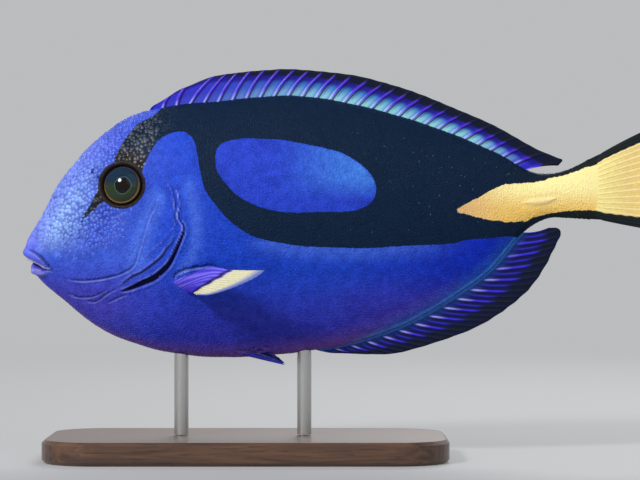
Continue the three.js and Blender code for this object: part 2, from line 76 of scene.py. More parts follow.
def layered(colour, *layers):
    # colours of many points with others laid over them in turn, each by its own amount
    for over, amount in layers:
        colour = mix(colour, over, np.asarray(amount)[..., None])
    return colour


# Camera: level, square to the left flank
cameraSet = dict(lens=150.0, sensor=36.0, width=224.0, middleX=104.5, middleZ=41.3)


def addCamera(s):
    # as far away as the lens needs to see the given width, in mm
    distance = s["lens"] * s["width"] / s["sensor"]
    data = bpy.data.cameras.new("camera")
    data.lens = s["lens"]
    data.sensor_width = s["sensor"]
    camera = bpy.data.objects.new("camera", data)
    camera.location = ((s["middleX"] + snoutX) * mm, -distance * mm, (s["middleZ"] + bellyZ) * mm)
    camera.rotation_euler = (math.radians(90), 0, 0)
    bpy.context.collection.objects.link(camera)
    bpy.context.scene.camera = camera


# Body sections: upper end x, z, lower end x, z, half thickness
sections = np.array([
    [1.4, 36.6, 1.4, 36.6, 0], [1.8, 41.4, 3.4, 31.6, 2.9], [5.1, 48.1, 7.9, 25.9, 6.0],
    [12.1, 59.5, 15.6, 19.6, 9.2], [22.9, 72.8, 26.8, 10.8, 12.7], [36.6, 83.6, 40.1, 4.9, 15.8],
    [52.0, 88.2, 55.5, 1.2, 17.9], [72.3, 90.3, 73.7, 0.2, 18.6], [94.0, 92.0, 94.0, 1.6, 18.0],
    [115.0, 89.2, 115.0, 4.9, 16.4], [134.2, 84.3, 134.2, 11.5, 14.0],
    [151.7, 78.2, 151.0, 21.0, 10.8], [166.4, 71.8, 164.3, 30.8, 7.6],
    [177.3, 65.8, 174.5, 42.7, 5.2], [184.3, 64.6, 183.2, 48.5, 4.1],
    [192.0, 66.5, 192.3, 48.8, 3.2], [203.2, 71.9, 203.5, 48.1, 2.2],
])
lastSection = len(sections) - 1


def along(rows, place):
    # smooth curve through the rows (Catmull-Rom) at real-valued row numbers
    rows = np.asarray(rows, float)
    place = np.asarray(place, float)
    last = len(rows) - 1
    k = np.clip(np.floor(place).astype(int), 0, last - 1)
    t = (place - k)[..., None]
    padded = np.vstack([2 * rows[0] - rows[1], rows, 2 * rows[-1] - rows[-2]])
    p0, p1, p2, p3 = padded[k], padded[k + 1], padded[k + 2], padded[k + 3]
    return p1 + 0.5 * t * (p2 - p0 + t * (2 * p0 - 5 * p1 + 4 * p2 - p3
                                         + t * (3 * p1 - p0 - 3 * p2 + p3)))


def bodyPoint(place, angle):
    # point of the section at place; angle 0 is its upper end, a quarter turn the right flank:
    # a line from the upper to the lower end, swelled across by |sin| to the section's sharpness
    row = along(sections, place)
    up, across = np.cos(angle), np.sin(angle)
    share = (1 + up) / 2
    sharp = mix(0.92, 1.15, smooth(3, 8, place))
    swell = np.abs(across) ** sharp * (1 + 0.08 * up)
    x = mix(row[..., 2], row[..., 0], share)
    z = mix(row[..., 3], row[..., 1], share)
    y = np.sign(across) * np.maximum(row[..., 4], 0) * swell
    return np.stack([x, y, z], -1)


def flankAt(x, z):
    # half thickness at x, z, by halving the range of sections
    x, z = np.broadcast_arrays(np.asarray(x, float), np.asarray(z, float))
    near, far = np.full(x.shape, 0.02), np.full(x.shape, float(lastSection))
    for _ in range(30):
        middle = (near + far) / 2
        row = along(sections, middle)
        rise = (z - row[..., 3]) / (row[..., 1] - row[..., 3])
        behind = mix(row[..., 2], row[..., 0], rise) < x
        near, far = np.where(behind, middle, near), np.where(behind, far, middle)
    row = along(sections, near)
    rise = np.clip((z - row[..., 3]) / (row[..., 1] - row[..., 3]), 0, 1)
    return bodyPoint(near, np.arccos(2 * rise - 1))[..., 1]


# Distances, all in mm
def curve(points, steps=60):
    # the smooth curve through the points, at even steps
    return along(points, np.linspace(0, len(points) - 1, steps))


def lineDistance(points, line):
    # distance to a run of short straight lines, the share along it, and which side (+ is left)
    best = np.full(len(points), 1e9)
    share = np.zeros(len(points))
    side = np.ones(len(points))
    count = len(line) - 1
    for k in range(count):
        a, d = line[k], line[k + 1] - line[k]
        t = np.clip(((points - a) @ d) / (d @ d + 1e-12), 0, 1)
        gap = points - a - t[:, None] * d
        distance = np.linalg.norm(gap, axis=1)
        closer = distance < best
        best = np.where(closer, distance, best)
        share = np.where(closer, (k + t) / count, share)
        if points.shape[1] == 2:
            side = np.where(closer, np.sign(d[0] * gap[:, 1] - d[1] * gap[:, 0]), side)
    return best, share, side


def insideOf(points, outline):
    # signed distance to a closed outline, positive inside, by counting crossings
    ring = np.vstack([outline, outline[:1]])
    distance, _, _ = lineDistance(points, ring)
    inside = np.zeros(len(points), bool)
    for a, b in zip(ring[:-1], ring[1:]):
        spans = (a[1] > points[:, 1]) != (b[1] > points[:, 1])
        cross = a[0] + (points[:, 1] - a[1]) * (b[0] - a[0]) / (b[1] - a[1] + 1e-12)
        inside ^= spans & (points[:, 0] < cross)
    return np.where(inside, distance, -distance)


# Markings of the flank, as x, z curves in mm
markings = dict(
    eye=(36.2, 60.3), eyeDark=8.3,
    bandFront=[(33.4, 68.9), (36.1, 75.1), (39.2, 78.9), (42.4, 82.4), (47.9, 85.8), (52, 95)],
    beyond=[(60, 130), (300, 130), (300, 20), (190, 30)],    # round the back and tail
    bandLow=[(180.3, 39.9), (172.4, 42.3), (164.8, 42.0), (155.8, 41.3), (149.3, 39.9),
             (136.5, 39.4), (122, 38.5), (108.6, 38.7), (97.6, 39.2), (89.0, 40.6), (82.1, 42.3),
             (77.2, 45.1), (73.1, 48.2), (68.6, 53.4), (65.2, 58.2), (63.4, 64.1), (62.4, 70.3),
             (60.9, 75.8), (58.6, 78.2), (55.8, 78.9), (52.2, 78.0), (49.0, 76.1), (45.9, 71.6),
             (44.5, 68.5), (43.3, 64.7)],
    oval=[(68.4, 69.5), (69.2, 73.2), (72.6, 75.4), (78.7, 76.4), (85.6, 76.2), (92.8, 75.7),
          (99.7, 74.3), (106.5, 72.9), (112.4, 71.2), (118.6, 67.4), (122.4, 63.3), (123.9, 59.2),
          (123.0, 55.4), (119.6, 52.5), (113.8, 51.1), (105.2, 51.0), (94.8, 50.7), (88.6, 51.4),
          (82.1, 53.3), (75.9, 56.8), (71.6, 61.3), (68.9, 65.6)],
    yellow=[(151.5, 51.8), (155.0, 53.8), (159.5, 55.9), (164.1, 58.7), (169.3, 60.8),
            (179.1, 61.3), (188.1, 63.6), (198.0, 66.7), (207.1, 70.0), (216.0, 74.1),
            (250, 88), (250, 46), (216.0, 50.5), (207.1, 51.1), (198.0, 51.8), (190.6, 51.4),
            (184.5, 50.5), (179.8, 49.5), (176.3, 47.7), (169.3, 47.6), (161.6, 48.6),
            (156.4, 49.8), (152.6, 50.9)],
    streak=[(31.0, 57.5), (28.6, 56.0), (26.2, 52.9), (24.1, 50.6), (22.4, 48.4)],
    streakHalf=(2.9, 1.9, 1.1, 0.7, 0.15),
)


def eyeDistance(points):
    # how far each point lies from the middle of the eye, seen from the side
    return np.hypot(points[:, 0] - markings["eye"][0], points[:, 2] - markings["eye"][1])


def insideOval(points, steps):
    # signed distance to the outline of the blue oval, positive inside
    return insideOf(points[:, [0, 2]], curve(markings["oval"] + markings["oval"][:1], steps))


def darkEdge(points, m=markings):
    # signed distance of the black pattern, positive in the black
    flank = points[:, [0, 2]]
    band = np.vstack([[m["eye"]], curve(m["bandFront"], 24), m["beyond"], curve(m["bandLow"], 90)])
    black = np.minimum(insideOf(flank, band), -insideOval(points, 80))
    ring = m["eyeDark"] - eyeDistance(points)
    away, share, _ = lineDistance(flank, curve(m["streak"], 30))
    halves = np.interp(share, np.linspace(0, 1, len(m["streakHalf"])), m["streakHalf"])
    return np.maximum.reduce([black, ring, halves - away])


def yellowEdge(points, m=markings):
    # signed distance of the yellow wedge, positive in the yellow
    return insideOf(points[:, [0, 2]], np.array(m["yellow"]))


# Ground colours of the skin, with the lines along which some of them run; the keel colour is painted
# light, the glow colour painted light in bands by the cheek and gill, the sheen colour a painted
# sheen, and the crack colour painted shade between the cobbles
palette = dict(
    ground=linear(24, 60, 178), forehead=linear(88, 98, 212), sheen=linear(146, 182, 232),
    cheek=linear(57, 84, 193), shoulder=linear(33, 66, 186), violet=linear(72, 60, 164),
    belly=linear(44, 50, 164), keelLight=linear(140, 92, 172), rear=linear(14, 42, 172),
    blush=linear(68, 50, 164), finRoot=linear(66, 138, 214), sheath=linear(36, 84, 190),
    patch=linear(35, 59, 180), patchRear=linear(60, 114, 206), mouth=linear(96, 104, 222),
    glow=linear(92, 132, 232), crackShade=linear(44, 50, 158),
    front=[(2, 40), (6, 50), (13, 60), (24, 73), (40, 85)],
    glowBehind=[(59.5, 60), (61.2, 52), (62.0, 44), (60.5, 36), (57.0, 30)],
)


def blueTint(points, edge, p=palette):
    # blue ground of the flank: pale forehead, partly painted sheen; violet throat; belly and rear
    # darker, partly as painted shade; edge is the distance to the black pattern
    x, y, z = points.T
    flank = points[:, [0, 2]]
    tint = np.tile(p["ground"], (len(points), 1))
    front, _, _ = lineDistance(flank, curve(p["front"]))
    oval = insideOval(points, 60)
    analLine, _, _ = lineDistance(flank, curve(sections[8:14, 2:4], 40))
    cheekLine, _, _ = lineDistance(flank, curve(relief["cheekRise"], 30))
    behind, _, _ = lineDistance(flank, curve(p["glowBehind"], 30))
    keelLightWidth = mix(3.5, 9.0, smooth(12, 60, x))
    layers = [
        ("shoulder", smooth(78, 56, x) * smooth(30, 60, z)),
        ("cheek", 0.9 * smooth(56, 34, x) * smooth(20, 36, z)),
        # painted sheen near the snout; the pale forehead is partly painted sheen too
        ("sheen", 0.7 * smooth(26, 6, front) * smooth(34, 46, z) * smooth(34, 14, x)),
        ("forehead", 0.6 * smooth(9, 1.5, front) * smooth(88, 68, z)),
        # deeper blue to the rear, partly painted shade
        ("rear", smooth(105, 160, x)),
        ("violet", 0.75 * smooth(37, 19, z) * smooth(66, 20, x)),
        # a dusky belly, partly painted shade
        ("belly", smooth(34, 8, z) * smooth(30, 62, x) * smooth(158, 118, x)),
        # painted light along the keel: a rim of light and light bounced up from the floor
        ("keelLight", 0.65 * smooth(keelLightWidth, 0.5, np.abs(y)) * smooth(30, 16, z)),
        ("mouth", 0.6 * smooth(8, 3, x)),
        ("blush", 0.4 * bell(x - 134, 22) * bell(z - 17, 9)),
        # painted sheen in bands along the cheek's rise and behind the gill cover
        ("glow", 0.3 * bell(cheekLine - 1.2, 2.2) + 0.3 * bell(behind, 2.4)),
        # the same pale colour in a band under the black pattern's lower edge
        ("glow", 0.26 * smooth(-7, -0.5, edge) * smooth(76, 88, x) * smooth(160, 130, x)
         * smooth(44, 40, z)),
        ("sheath", 0.7 * smooth(6.5, 1.0, analLine) * smooth(112, 134, x)),
        ("finRoot", 0.9 * bell(analLine - 0.9, 0.42) * smooth(110, 126, x)),
        ("patch", smooth(-1, 1, oval)),
        ("patchRear", smooth(-1, 1, oval) * smooth(86, 122, x) * smooth(54, 64, z)),
    ]
    return layered(tint, *[(p[name], np.clip(amount, 0, 1)) for name, amount in layers])


# Mesh making
def makePiece(name, vertices, faces, attributes, material, nodes=()):
    # a smooth mesh of vertices in mm with named values or colours at its points; it takes the
    # place of the given CAD nodes
    mesh = bpy.data.meshes.new(name)
    faces = np.asarray(faces, np.int32)
    sides = faces.shape[1]
    mesh.vertices.add(len(vertices))
    mesh.vertices.foreach_set("co", toWorld(vertices).astype(np.float32).ravel())
    mesh.loops.add(faces.size)
    mesh.loops.foreach_set("vertex_index", faces.ravel())
    mesh.polygons.add(len(faces))
    mesh.polygons.foreach_set("loop_start", np.arange(0, faces.size, sides, dtype=np.int32))
    mesh.polygons.foreach_set("use_smooth", np.full(len(faces), True))
    for key, values in attributes.items():
        if values.ndim == 2:
            layer = mesh.attributes.new(key, "FLOAT_COLOR", "POINT")
            full = np.column_stack([values, np.ones(len(values))])
            layer.data.foreach_set("color", full.astype(np.float32).ravel())
        else:
            layer = mesh.attributes.new(key, "FLOAT", "POINT")
            layer.data.foreach_set("value", values.astype(np.float32))
    mesh.update(calc_edges=True)
    mesh.validate()
    piece = bpy.data.objects.new(name, mesh)
    bpy.context.collection.objects.link(piece)
    mesh.materials.append(material)
    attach(piece, "root")
    if nodes:
        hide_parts(*nodes)
    return piece


def gridFaces(rows, columns, closed):
    # four-sided faces between the points of a grid, whose rows may run round
    r = np.arange(rows - 1)[:, None]
    c = np.arange(columns if closed else columns - 1)[None, :]
    nextC = (c + 1) % columns
    a, b = r * columns + c, r * columns + nextC
    d, e = (r + 1) * columns + c, (r + 1) * columns + nextC
    return np.stack([a, d, e, b], -1).reshape(-1, 4)


# Relief of the skin, in mm: folds as x, z lines on the flank, lips as lines round the snout
relief = dict(
    gillMargin=[(55.4, 59.1), (56.0, 57.1), (56.6, 53.3), (55.8, 49.7), (56.5, 47.7), (57.5, 46.3),
                (57.4, 44.1), (55.7, 40.3), (53.7, 36.2), (51.9, 33.3), (49.4, 30.9),
                (46.5, 28.8), (42.5, 27.0), (38.6, 25.0), (35.1, 23.5)],
    gillWidth=(0.1, 0.15, 0.2, 0.2, 0.25, 0.35, 0.6, 0.9, 1.1, 1.4, 1.7, 1.9, 1.7, 1.1, 0.1),
    gillInner=[(52.6, 61.0), (54.2, 57.6), (54.8, 53.3), (54.7, 49.4), (55.2, 46.1)],
    gillFold=[(55.4, 42.7), (53.6, 39.8), (51.9, 38.1), (50.7, 36.2), (48.5, 34.0), (46.0, 32.1),
              (43.1, 30.1), (40.1, 28.7), (37.2, 26.7), (35.2, 25.0)],
    gillFaint=[(55.1, 46.1), (53.4, 43.7), (51.0, 40.8), (47.5, 37.9), (43.6, 34.0)],
    cheek=[(16.3, 27.9), (19.8, 27.4), (23.3, 27.3), (27.3, 27.7), (30.8, 28.3), (34.3, 29.2),
           (37.2, 30.4), (39.4, 31.6), (40.9, 33.8), (41.9, 36.9)],
    cheekRise=[(40.9, 33.8), (41.9, 36.9), (42.9, 40.3), (44.7, 46.1), (45.9, 49.4), (47.6, 52.8),
               (48.4, 55.7)],
    throat=[[(17.3, 22.5), (20.1, 21.5), (23.1, 21.4), (25.7, 21.8), (27.7, 22.5), (31.2, 24.4)],
            [(23.6, 20.1), (26.1, 19.8), (28.1, 20.8), (30.2, 22.3), (32.7, 23.8), (35.2, 24.8)],
            [(30.8, 19.6), (33.1, 20.6), (35.1, 21.6), (37.6, 22.3)]],
    pelvis=[[(76.0, 2.6), (80.4, 3.0), (82.6, 5.0)], [(78.6, 2.0), (83.6, 2.6), (86.4, 4.4)]],
    axil=[(54.0, 27.6), (54.7, 29.4), (56.7, 30.6), (59.6, 31.6), (63.5, 32.2), (66.9, 32.6),
          (69.7, 32.1)],
    mouthGap=[(10.6, 30.7), (8.8, 31.0), (7.0, 31.6), (5.2, 32.1), (3.8, 32.5), (2.6, 33.1)],
    upperLip=[(9.8, 32.0), (8.0, 33.4), (5.8, 34.9), (3.6, 36.1), (2.0, 37.0)],
    lipHighlight=[(10.0, 31.2), (8.4, 32.0), (7.0, 32.7), (5.2, 33.5), (3.6, 34.1), (2.1, 35.0)],
    lowerEdge=[(7.2, 30.8), (5.6, 31.0), (4.2, 31.3)],
    lowerLip=[(9.4, 30.0), (7.6, 29.8), (6.0, 30.0), (4.8, 30.6)],
    lipFold=[(3.0, 38.0), (5.9, 36.6), (8.1, 34.9), (9.6, 33.2), (10.6, 31.5), (11.8, 30.0)],
    nostrils=[(25.8, 65.2, 0.85), (27.8, 63.0, 0.6)],
    tailSpine=[(176.0, 54.3), (181.4, 54.6), (186.6, 55.7)],
    gapWidth=(0.28, 0.75),    # of the mouth, at its corner and in front
)

# Each fold's depth and half width, the ridge beside it and how strong its painted highlight is;
# where given, how dark the painted shade in its groove is and how long its ends fade
folds = dict(
    gillInner=dict(depth=0.3, width=0.3, ridge=0.2, paleHighlight=0.5),
    gillFold=dict(depth=0.75, width=0.5, ridge=0.4, paleHighlight=0.75),
    gillFaint=dict(depth=0.2, width=0.3, ridge=0.15, paleHighlight=0.3, dark=0.4),
    cheek=dict(depth=0.5, width=0.38, ridge=0.35, paleHighlight=0.75, fade=0.6),
    cheekRise=dict(depth=0.15, width=0.35, ridge=0.3, paleHighlight=0.55, dark=0.15, fade=0.6),
    throat=dict(depth=0.35, width=0.32, ridge=0.25, paleHighlight=0.6),
    pelvis=dict(depth=0.3, width=0.35, ridge=0.15, paleHighlight=0.4),
    axil=dict(depth=0.9, width=0.5, ridge=0.3, paleHighlight=0.6),
    lipFold=dict(depth=0.85, width=0.36, ridge=0.3, paleHighlight=0.25),
)

# Swelling of each lip line, and how strong a painted highlight it bears, with their half widths
lips = dict(
    upperLip=dict(swell=1.25, swellWidth=1.7, paleHighlight=0, paleWidth=1),
    lowerLip=dict(swell=1.3, swellWidth=1.2, paleHighlight=0.2, paleWidth=0.8),
    lipHighlight=dict(swell=0, swellWidth=1, paleHighlight=1, paleWidth=0.6),
    lowerEdge=dict(swell=0, swellWidth=1, paleHighlight=0.3, paleWidth=0.24),
)


def roundSnout(line):
    # a mouth line of x, z places laid on the left flank and carried forward to the middle
    x, z = curve(line, 50).T
    x = np.append(x, 1.5 * x[-1] - 0.5 * x[-2])
    z = np.append(z, 1.5 * z[-1] - 0.5 * z[-2])
    return np.column_stack([x, np.append(flankAt(x[:-1], z[:-1]), 0), z])


def gillRelief(flank, r=relief):
    # lift, painted shade and painted highlight of the gill cover's free margin: a slit as wide as
    # gillWidth behind it,
    # a swollen cover in front of it and a low lip behind
    away, share, side = lineDistance(flank, curve(r["gillMargin"], 100))
    width = np.interp(share, np.linspace(0, 1, len(r["gillWidth"])), r["gillWidth"])
    behind = away * side
    past = behind - width
    ends = smooth(0, 0.06, share) * smooth(1.0, 0.97, share)
    slit = smooth(-0.25, 0.15, behind) * smooth(0.3, -0.2, past) * ends
    lift = 0.75 * bell(np.minimum(behind, 0), 4.0) * (behind < 0.0) * ends * smooth(0, 0.5, share)
    lift += 0.3 * bell(behind + 0.45, 0.45) * ends - 1.3 * slit * smooth(0.1, 1.4, width)
    lift += 0.3 * bell(past - 0.6, 0.5) * ends * smooth(0.2, 0.5, share)
    paleHighlight = np.maximum(0.9 * bell(behind + 0.35, 0.2),
                      0.4 * bell(past - 0.4, 0.24) * smooth(0.2, 0.45, share)) * ends
    return lift, slit, paleHighlight


def foldRelief(flank, line, depth, width, ridge, paleHighlight, dark=1.0, fade=0.35):
    # a bell-shaped groove along the line with a rounded ridge on its right-hand side; painted shade
    # lies in the groove and a painted highlight on the ridge
    away, share, side = lineDistance(flank, curve(line, 60))
    ends = np.clip(np.sin(np.pi * share), 0, 1) ** fade
    signed = away * side
    lift = ends * (ridge * bell(signed + width * 1.6, width * 1.1) - depth * bell(away, width))
    grooveShade = dark * ends * bell(away, width * 0.8)
    return lift, grooveShade, 0.9 * paleHighlight * ends * bell(signed + width * 1.5, width * 0.5)


def mouthRelief(points, r=relief):
    # lips swell as bells round their lines, some bearing a painted highlight, and the gap between
    # them is cut along its own and darkened with painted shade
    lift, paleHighlight = np.zeros((2, len(points)))
    for name, lip in lips.items():
        away, share, _ = lineDistance(points, roundSnout(r[name]))
        lift += lip["swell"] * bell(away, lip["swellWidth"]) * smooth(0, 0.25, share + 0.1)
        paleHighlight = np.maximum(paleHighlight, lip["paleHighlight"] * bell(away, lip["paleWidth"]))
    away, share, _ = lineDistance(points, roundSnout(r["mouthGap"]))
    gap = mix(*r["gapWidth"], smooth(0.1, 0.6, share))
    lift -= 2.4 * gap * bell(away, gap)
    return lift, np.minimum(1.3 * bell(away, 0.8 * gap), 1), paleHighlight


def skinRelief(points, r=relief):
    # outward lift of each point, and how much painted shade it gets in a crease and painted
    # highlight on a rim
    flank = points[:, [0, 2]]
    x, z = flank.T
    rightSide = np.column_stack([points[:, 0], np.abs(points[:, 1]), points[:, 2]])
    parts = [gillRelief(flank), mouthRelief(rightSide)]
    for name, fold in folds.items():
        lines = r[name] if name in ("throat", "pelvis") else [r[name]]
        parts += [foldRelief(flank, line, **fold) for line in lines]
    lift = sum(part[0] for part in parts)
    creaseShade = np.maximum.reduce([part[1] for part in parts])
    rim = np.maximum.reduce([part[2] for part in parts])

    # the orbit is sunk inside a low ring
    eye = eyeDistance(points)
    lift += 0.35 * bell(eye - 8.0, 1.4) - 2.3 * smooth(7.3, 6.4, eye)
    # the nostrils are sunk, with painted shade in their holes
    for nx, nz, radius in r["nostrils"]:
        hole = np.hypot(x - nx, z - nz)
        lift += 0.25 * bell(hole - radius * 1.3, 0.4) - 0.9 * bell(hole, radius * 0.8)
        creaseShade = np.maximum(creaseShade, bell(hole, radius * 0.75))

    # the tail's blade in its shallow sheath, with a painted highlight along it
    away, share, _ = lineDistance(flank, curve(r["tailSpine"], 30))
    blade = np.sin(np.pi * np.clip(share, 0.02, 0.98)) ** 0.6
    lift += 0.4 * bell(away, blade + 0.05) - 0.1 * bell(away - 1.6, 0.6)
    rim = np.maximum(rim, bell(away - 0.3, 1.2 * blade))

    # slow waves of the flank, the pectoral fin's base, and the snout drawn in over the mouth
    lift += 0.12 * np.sin(x * 0.31 + z * 0.17) * np.sin(z * 0.23 - x * 0.09) * smooth(4, 20, x)
    lift += 0.5 * bell(x - 59, 3.5) * bell(z - 27, 6)
    lift -= 1.15 * bell(z - 50, 8) * smooth(16, 9, x)
    return lift, np.clip(creaseShade, 0, 1), np.clip(rim, 0, 1)


# Materials
class Value:
    # wraps a socket, so that shader maths reads as Python
    def __init__(self, shader, socket):
        self.shader, self.socket = shader, socket

    def math(self, operation, other):
        return self.shader.node("ShaderNodeMath", dict(operation=operation), {0: self, 1: other})

    def __add__(self, other):
        return self.math("ADD", other)

    def __radd__(self, other):
        return self.math("ADD", other)

    def __sub__(self, other):
        return self.math("SUBTRACT", other)

    def __rsub__(self, other):
        return (self * -1).math("ADD", other)

    def __mul__(self, other):
        return self.math("MULTIPLY", other)

    def __rmul__(self, other):
        return self.math("MULTIPLY", other)

    def step(self, low, high):
        # 0 up to low, 1 from high, with an S-shaped rise between
        settings = dict(interpolation_type="SMOOTHSTEP")
        return self.shader.node("ShaderNodeMapRange", settings, {0: self, 1: low, 2: high})


class Shader:
    # one material, with short ways to the nodes used most
    def __init__(self, name):
        self.material = bpy.data.materials.new(name)
        self.material.use_nodes = True
        self.tree = self.material.node_tree
        self.tree.nodes.clear()
        self.bsdf = self.tree.nodes.new("ShaderNodeBsdfPrincipled")
        self.out = self.tree.nodes.new("ShaderNodeOutputMaterial")
        self.tree.links.new(self.bsdf.outputs[0], self.out.inputs[0])
        self.place = self.node("ShaderNodeTexCoord", {}, {}, "Object")

    def put(self, socket, value):
        # a link from a value, otherwise a fixed colour or number
        if isinstance(value, Value):
            self.tree.links.new(value.socket, socket)
        elif socket.type == "RGBA":
            socket.default_value = (*value, 1)
        else:
            socket.default_value = value

    def node(self, kind, settings, values, output=0):
        # settings first, then the values or links of the named or numbered sockets
        node = self.tree.nodes.new(kind)
        for key, setting in settings.items():
            setattr(node, key, setting)
        for key, value in values.items():
            self.put(node.inputs[key], value)
        return Value(self, node.outputs[output])

    def attribute(self, name, output="Fac"):
        return self.node("ShaderNodeAttribute", dict(attribute_name=name), {}, output)

    def noise(self, scale, detail=2.0, rough=0.5):
        values = {"Vector": self.place, "Scale": scale, "Detail": detail, "Roughness": rough}
        return self.node("ShaderNodeTexNoise", {}, values)

    def cells(self, scale, output="Distance"):
        values = {"Vector": self.place, "Scale": scale}
        return self.node("ShaderNodeTexVoronoi", {}, values, output)

    def blend(self, factor, a, b, kind="MIX"):
        settings = dict(data_type="RGBA", blend_type=kind)
        return self.node("ShaderNodeMix", settings, {0: factor, 6: a, 7: b}, 2)

    def times(self, a, b):
        return self.blend(1.0, a, b, "MULTIPLY")

    def bump(self, height, distance, strength=1.0, normal=None):
        values = {"Height": height, "Distance": distance, "Strength": strength}
        if normal:
            values["Normal"] = normal
        return self.node("ShaderNodeBump", {}, values)

    def finish(self, **inputs):
        for key, value in inputs.items():
            self.put(self.bsdf.inputs[key.replace("_", " ")], value)
        return self.material


# Look of the skin; each pair of places is where a change starts and ends, in world metres.
# The crease colour is painted shade; the rim, lip edge and blade edge colours are painted
# highlights, and the nape colour is a painted highlight on the black cobbles
skinLook = dict(
    black=linear(12, 30, 53), blackWarm=linear(32, 26, 26), blackRear=linear(24, 30, 33),
    napeHighlight=linear(98, 104, 104), yellow=linear(246, 232, 164), yellowDeep=linear(238, 198, 106),
    yellowTip=linear(216, 176, 122), speck=linear(150, 176, 220), freckle=linear(36, 66, 112),
    creaseShade=linear(8, 8, 42), rim=linear(150, 164, 248), lipHighlight=linear(238, 206, 222),
    bladeHighlight=linear(255, 250, 230), roughness=0.4,
    paleAbove=(0.0855, 0.095), tipBefore=(0.05, 0.028), rearFrom=(0.04, 0.075),
    specksFrom=(-0.04, 0.04), lipBefore=(-0.1135, -0.116),
    napeHighlightAbove=(0.098, 0.112), napeHighlightBefore=(-0.066, -0.084),
    freckled=[(-0.107, -0.1), (-0.08, -0.088), (0.068, 0.074), (0.092, 0.084)],
    scaleTones=[(0.86, 0.86, 0.9), (1.16, 1.16, 1.1)],
)


def fleshMaterial(name, forScales=False, gloss=0.05, s=skinLook):
    # blue ground under a black pattern and a yellow wedge, whose edges are thresholds of distances
    m = Shader(name)
    black, yellow = m.attribute("blackEdge"), m.attribute("yellowEdge")
    tint = m.attribute("tint", "Color")
    fray = (m.noise(1100) - 0.5) * 0.5 + (m.noise(380) - 0.5) * 0.5
    blackMask = (black + fray).step(-0.14, 0.14)
    yellowMask = (yellow + fray * 1.6).step(-0.14, 0.14)
    mottle, fine, broad = m.noise(330, 4, 0.6), m.noise(1500, 2, 0.6), m.noise(60)
    tone = mottle * 0.55 + fine * 0.3 + broad * 0.15
    patchy = tone.step(0.35, 0.75)
    x, z = [m.node("ShaderNodeSeparateXYZ", {}, {0: m.place}, k) for k in (0, 2)]

    darker, lighter = m.times(tint, (0.7, 0.7, 0.78)), m.times(tint, (1.28, 1.28, 1.2))
    blue = m.blend(tone.step(0.3, 0.7), darker, lighter)
    gold = m.blend(z.step(*s["paleAbove"]), s["yellowDeep"], s["yellow"])
    gold = m.blend(x.step(*s["tipBefore"]), gold, s["yellowTip"])
    gold = m.blend(patchy * 0.5, gold, m.times(gold, (0.95, 0.88, 0.74)))
    dark = m.blend(x.step(*s["rearFrom"]), s["black"], s["blackRear"])
    dark = m.blend(m.attribute("eyeSide"), dark, s["blackWarm"])
    dark = m.blend(patchy * 0.4, dark, m.times(dark, (1.5, 1.5, 1.4)))

    # few cells are picked: tiny pale specks on the rear half, dim freckles on the cheek
    pick = m.node("ShaderNodeSeparateColor", {}, {0: m.cells(840, "Color")})
    specks = m.cells(900).step(0.22, 0.08) * pick.step(0.86, 0.98) * x.step(*s["specksFrom"])
    front, rear, low, high = s["freckled"]
    cheek = x.step(*front) * x.step(*rear) * z.step(*low) * z.step(*high)
    freckles = m.cells(560).step(0.3, 0.12) * pick.step(0.8, 0.95) * cheek
    blue = m.blend(freckles * 0.5, blue, s["freckle"])
    ground = m.blend(blackMask, blue, dark)
    ground = m.blend(specks * (blackMask * 0.25 + 0.2), ground, s["speck"])
    ground = m.blend(yellowMask, ground, gold)

    # painted highlights on the pale rims and painted shade in the dark creases beside the folds
    broken = m.noise(420).step(0.35, 0.62) * 0.5 + 0.45
    rim = m.attribute("rim") * (1 - blackMask * 0.8) * broken
    paleHighlight = m.blend(x.step(*s["lipBefore"]), s["rim"], s["lipHighlight"])
    ground = m.blend(rim, ground, m.blend(yellowMask, paleHighlight, s["bladeHighlight"]))
    ground = m.blend(m.attribute("creaseShade") * 0.95, ground, s["creaseShade"])
    if forScales:
        # each scale has its own random tone, with painted shade at its foot
        shade = m.attribute("shade")
        tones = m.blend(shade.step(0.0, 1.0), *s["scaleTones"])
        tones = m.blend(yellowMask * 0.7, tones, (1.0, 1.0, 1.0))
        ground = m.times(ground, tones)
        # a painted highlight on the tops of the black cobbles high on the nape, fading to the rear
        napeHighlight = blackMask * z.step(*s["napeHighlightAbove"]) * x.step(*s["napeHighlightBefore"])
        ground = m.blend(napeHighlight * shade.step(0.25, 1.0) * 0.42, ground, s["napeHighlight"])
        # painted shade at each scale's foot
        foot = m.times(ground, (0.3, 0.25, 0.5))
        ground = m.blend(shade.step(0.05, -0.75) * 0.75, ground, foot)
        grain = m.bump(m.noise(2600), 0.00006, 0.5)
    else:
        grain = m.bump(m.cells(1250), 0.00012, 0.7)
        grain = m.bump(m.noise(2600), 0.00006, 0.5, grain)
    coat = (1 - blackMask * 0.9) * (gloss * 0.3 + 0.03)
    return m.finish(Base_Color=ground, Roughness=fine * 0.22 + (s["roughness"] - 0.11),
                    Normal=grain, Coat_Weight=coat, Coat_Roughness=0.2, Specular_IOR_Level=gloss)


# Skin: bands of rows from, to (places), rows and columns; a finer band holds the face
skinSize = dict(bands=[(0.0, 3.0, 42, 256), (3.0, 6.5, 126, 512), (6.5, 16.0, 86, 256)],
                # the crack settings say where painted shade darkens the skin between the cobbles
                inset=0.16, crowding=1.5, crackShadeIn=(1, 10), crackShadeEye=(8.4, 9.2),
                crackShadeAmount=(0.5, 0.2), crackShadeHeight=(58, 72))


def pathLength(points):
    # length of a path of points up to each of them
    return np.concatenate([[0], np.cumsum(np.linalg.norm(np.diff(points, axis=0), axis=-1))])


def sectionOutlines(places, steps):
    # angles all round, and for each place the points of its section at those angles
    turn = np.linspace(0, 2 * np.pi, steps)
    return turn, bodyPoint(*np.broadcast_arrays(places[:, None], turn))


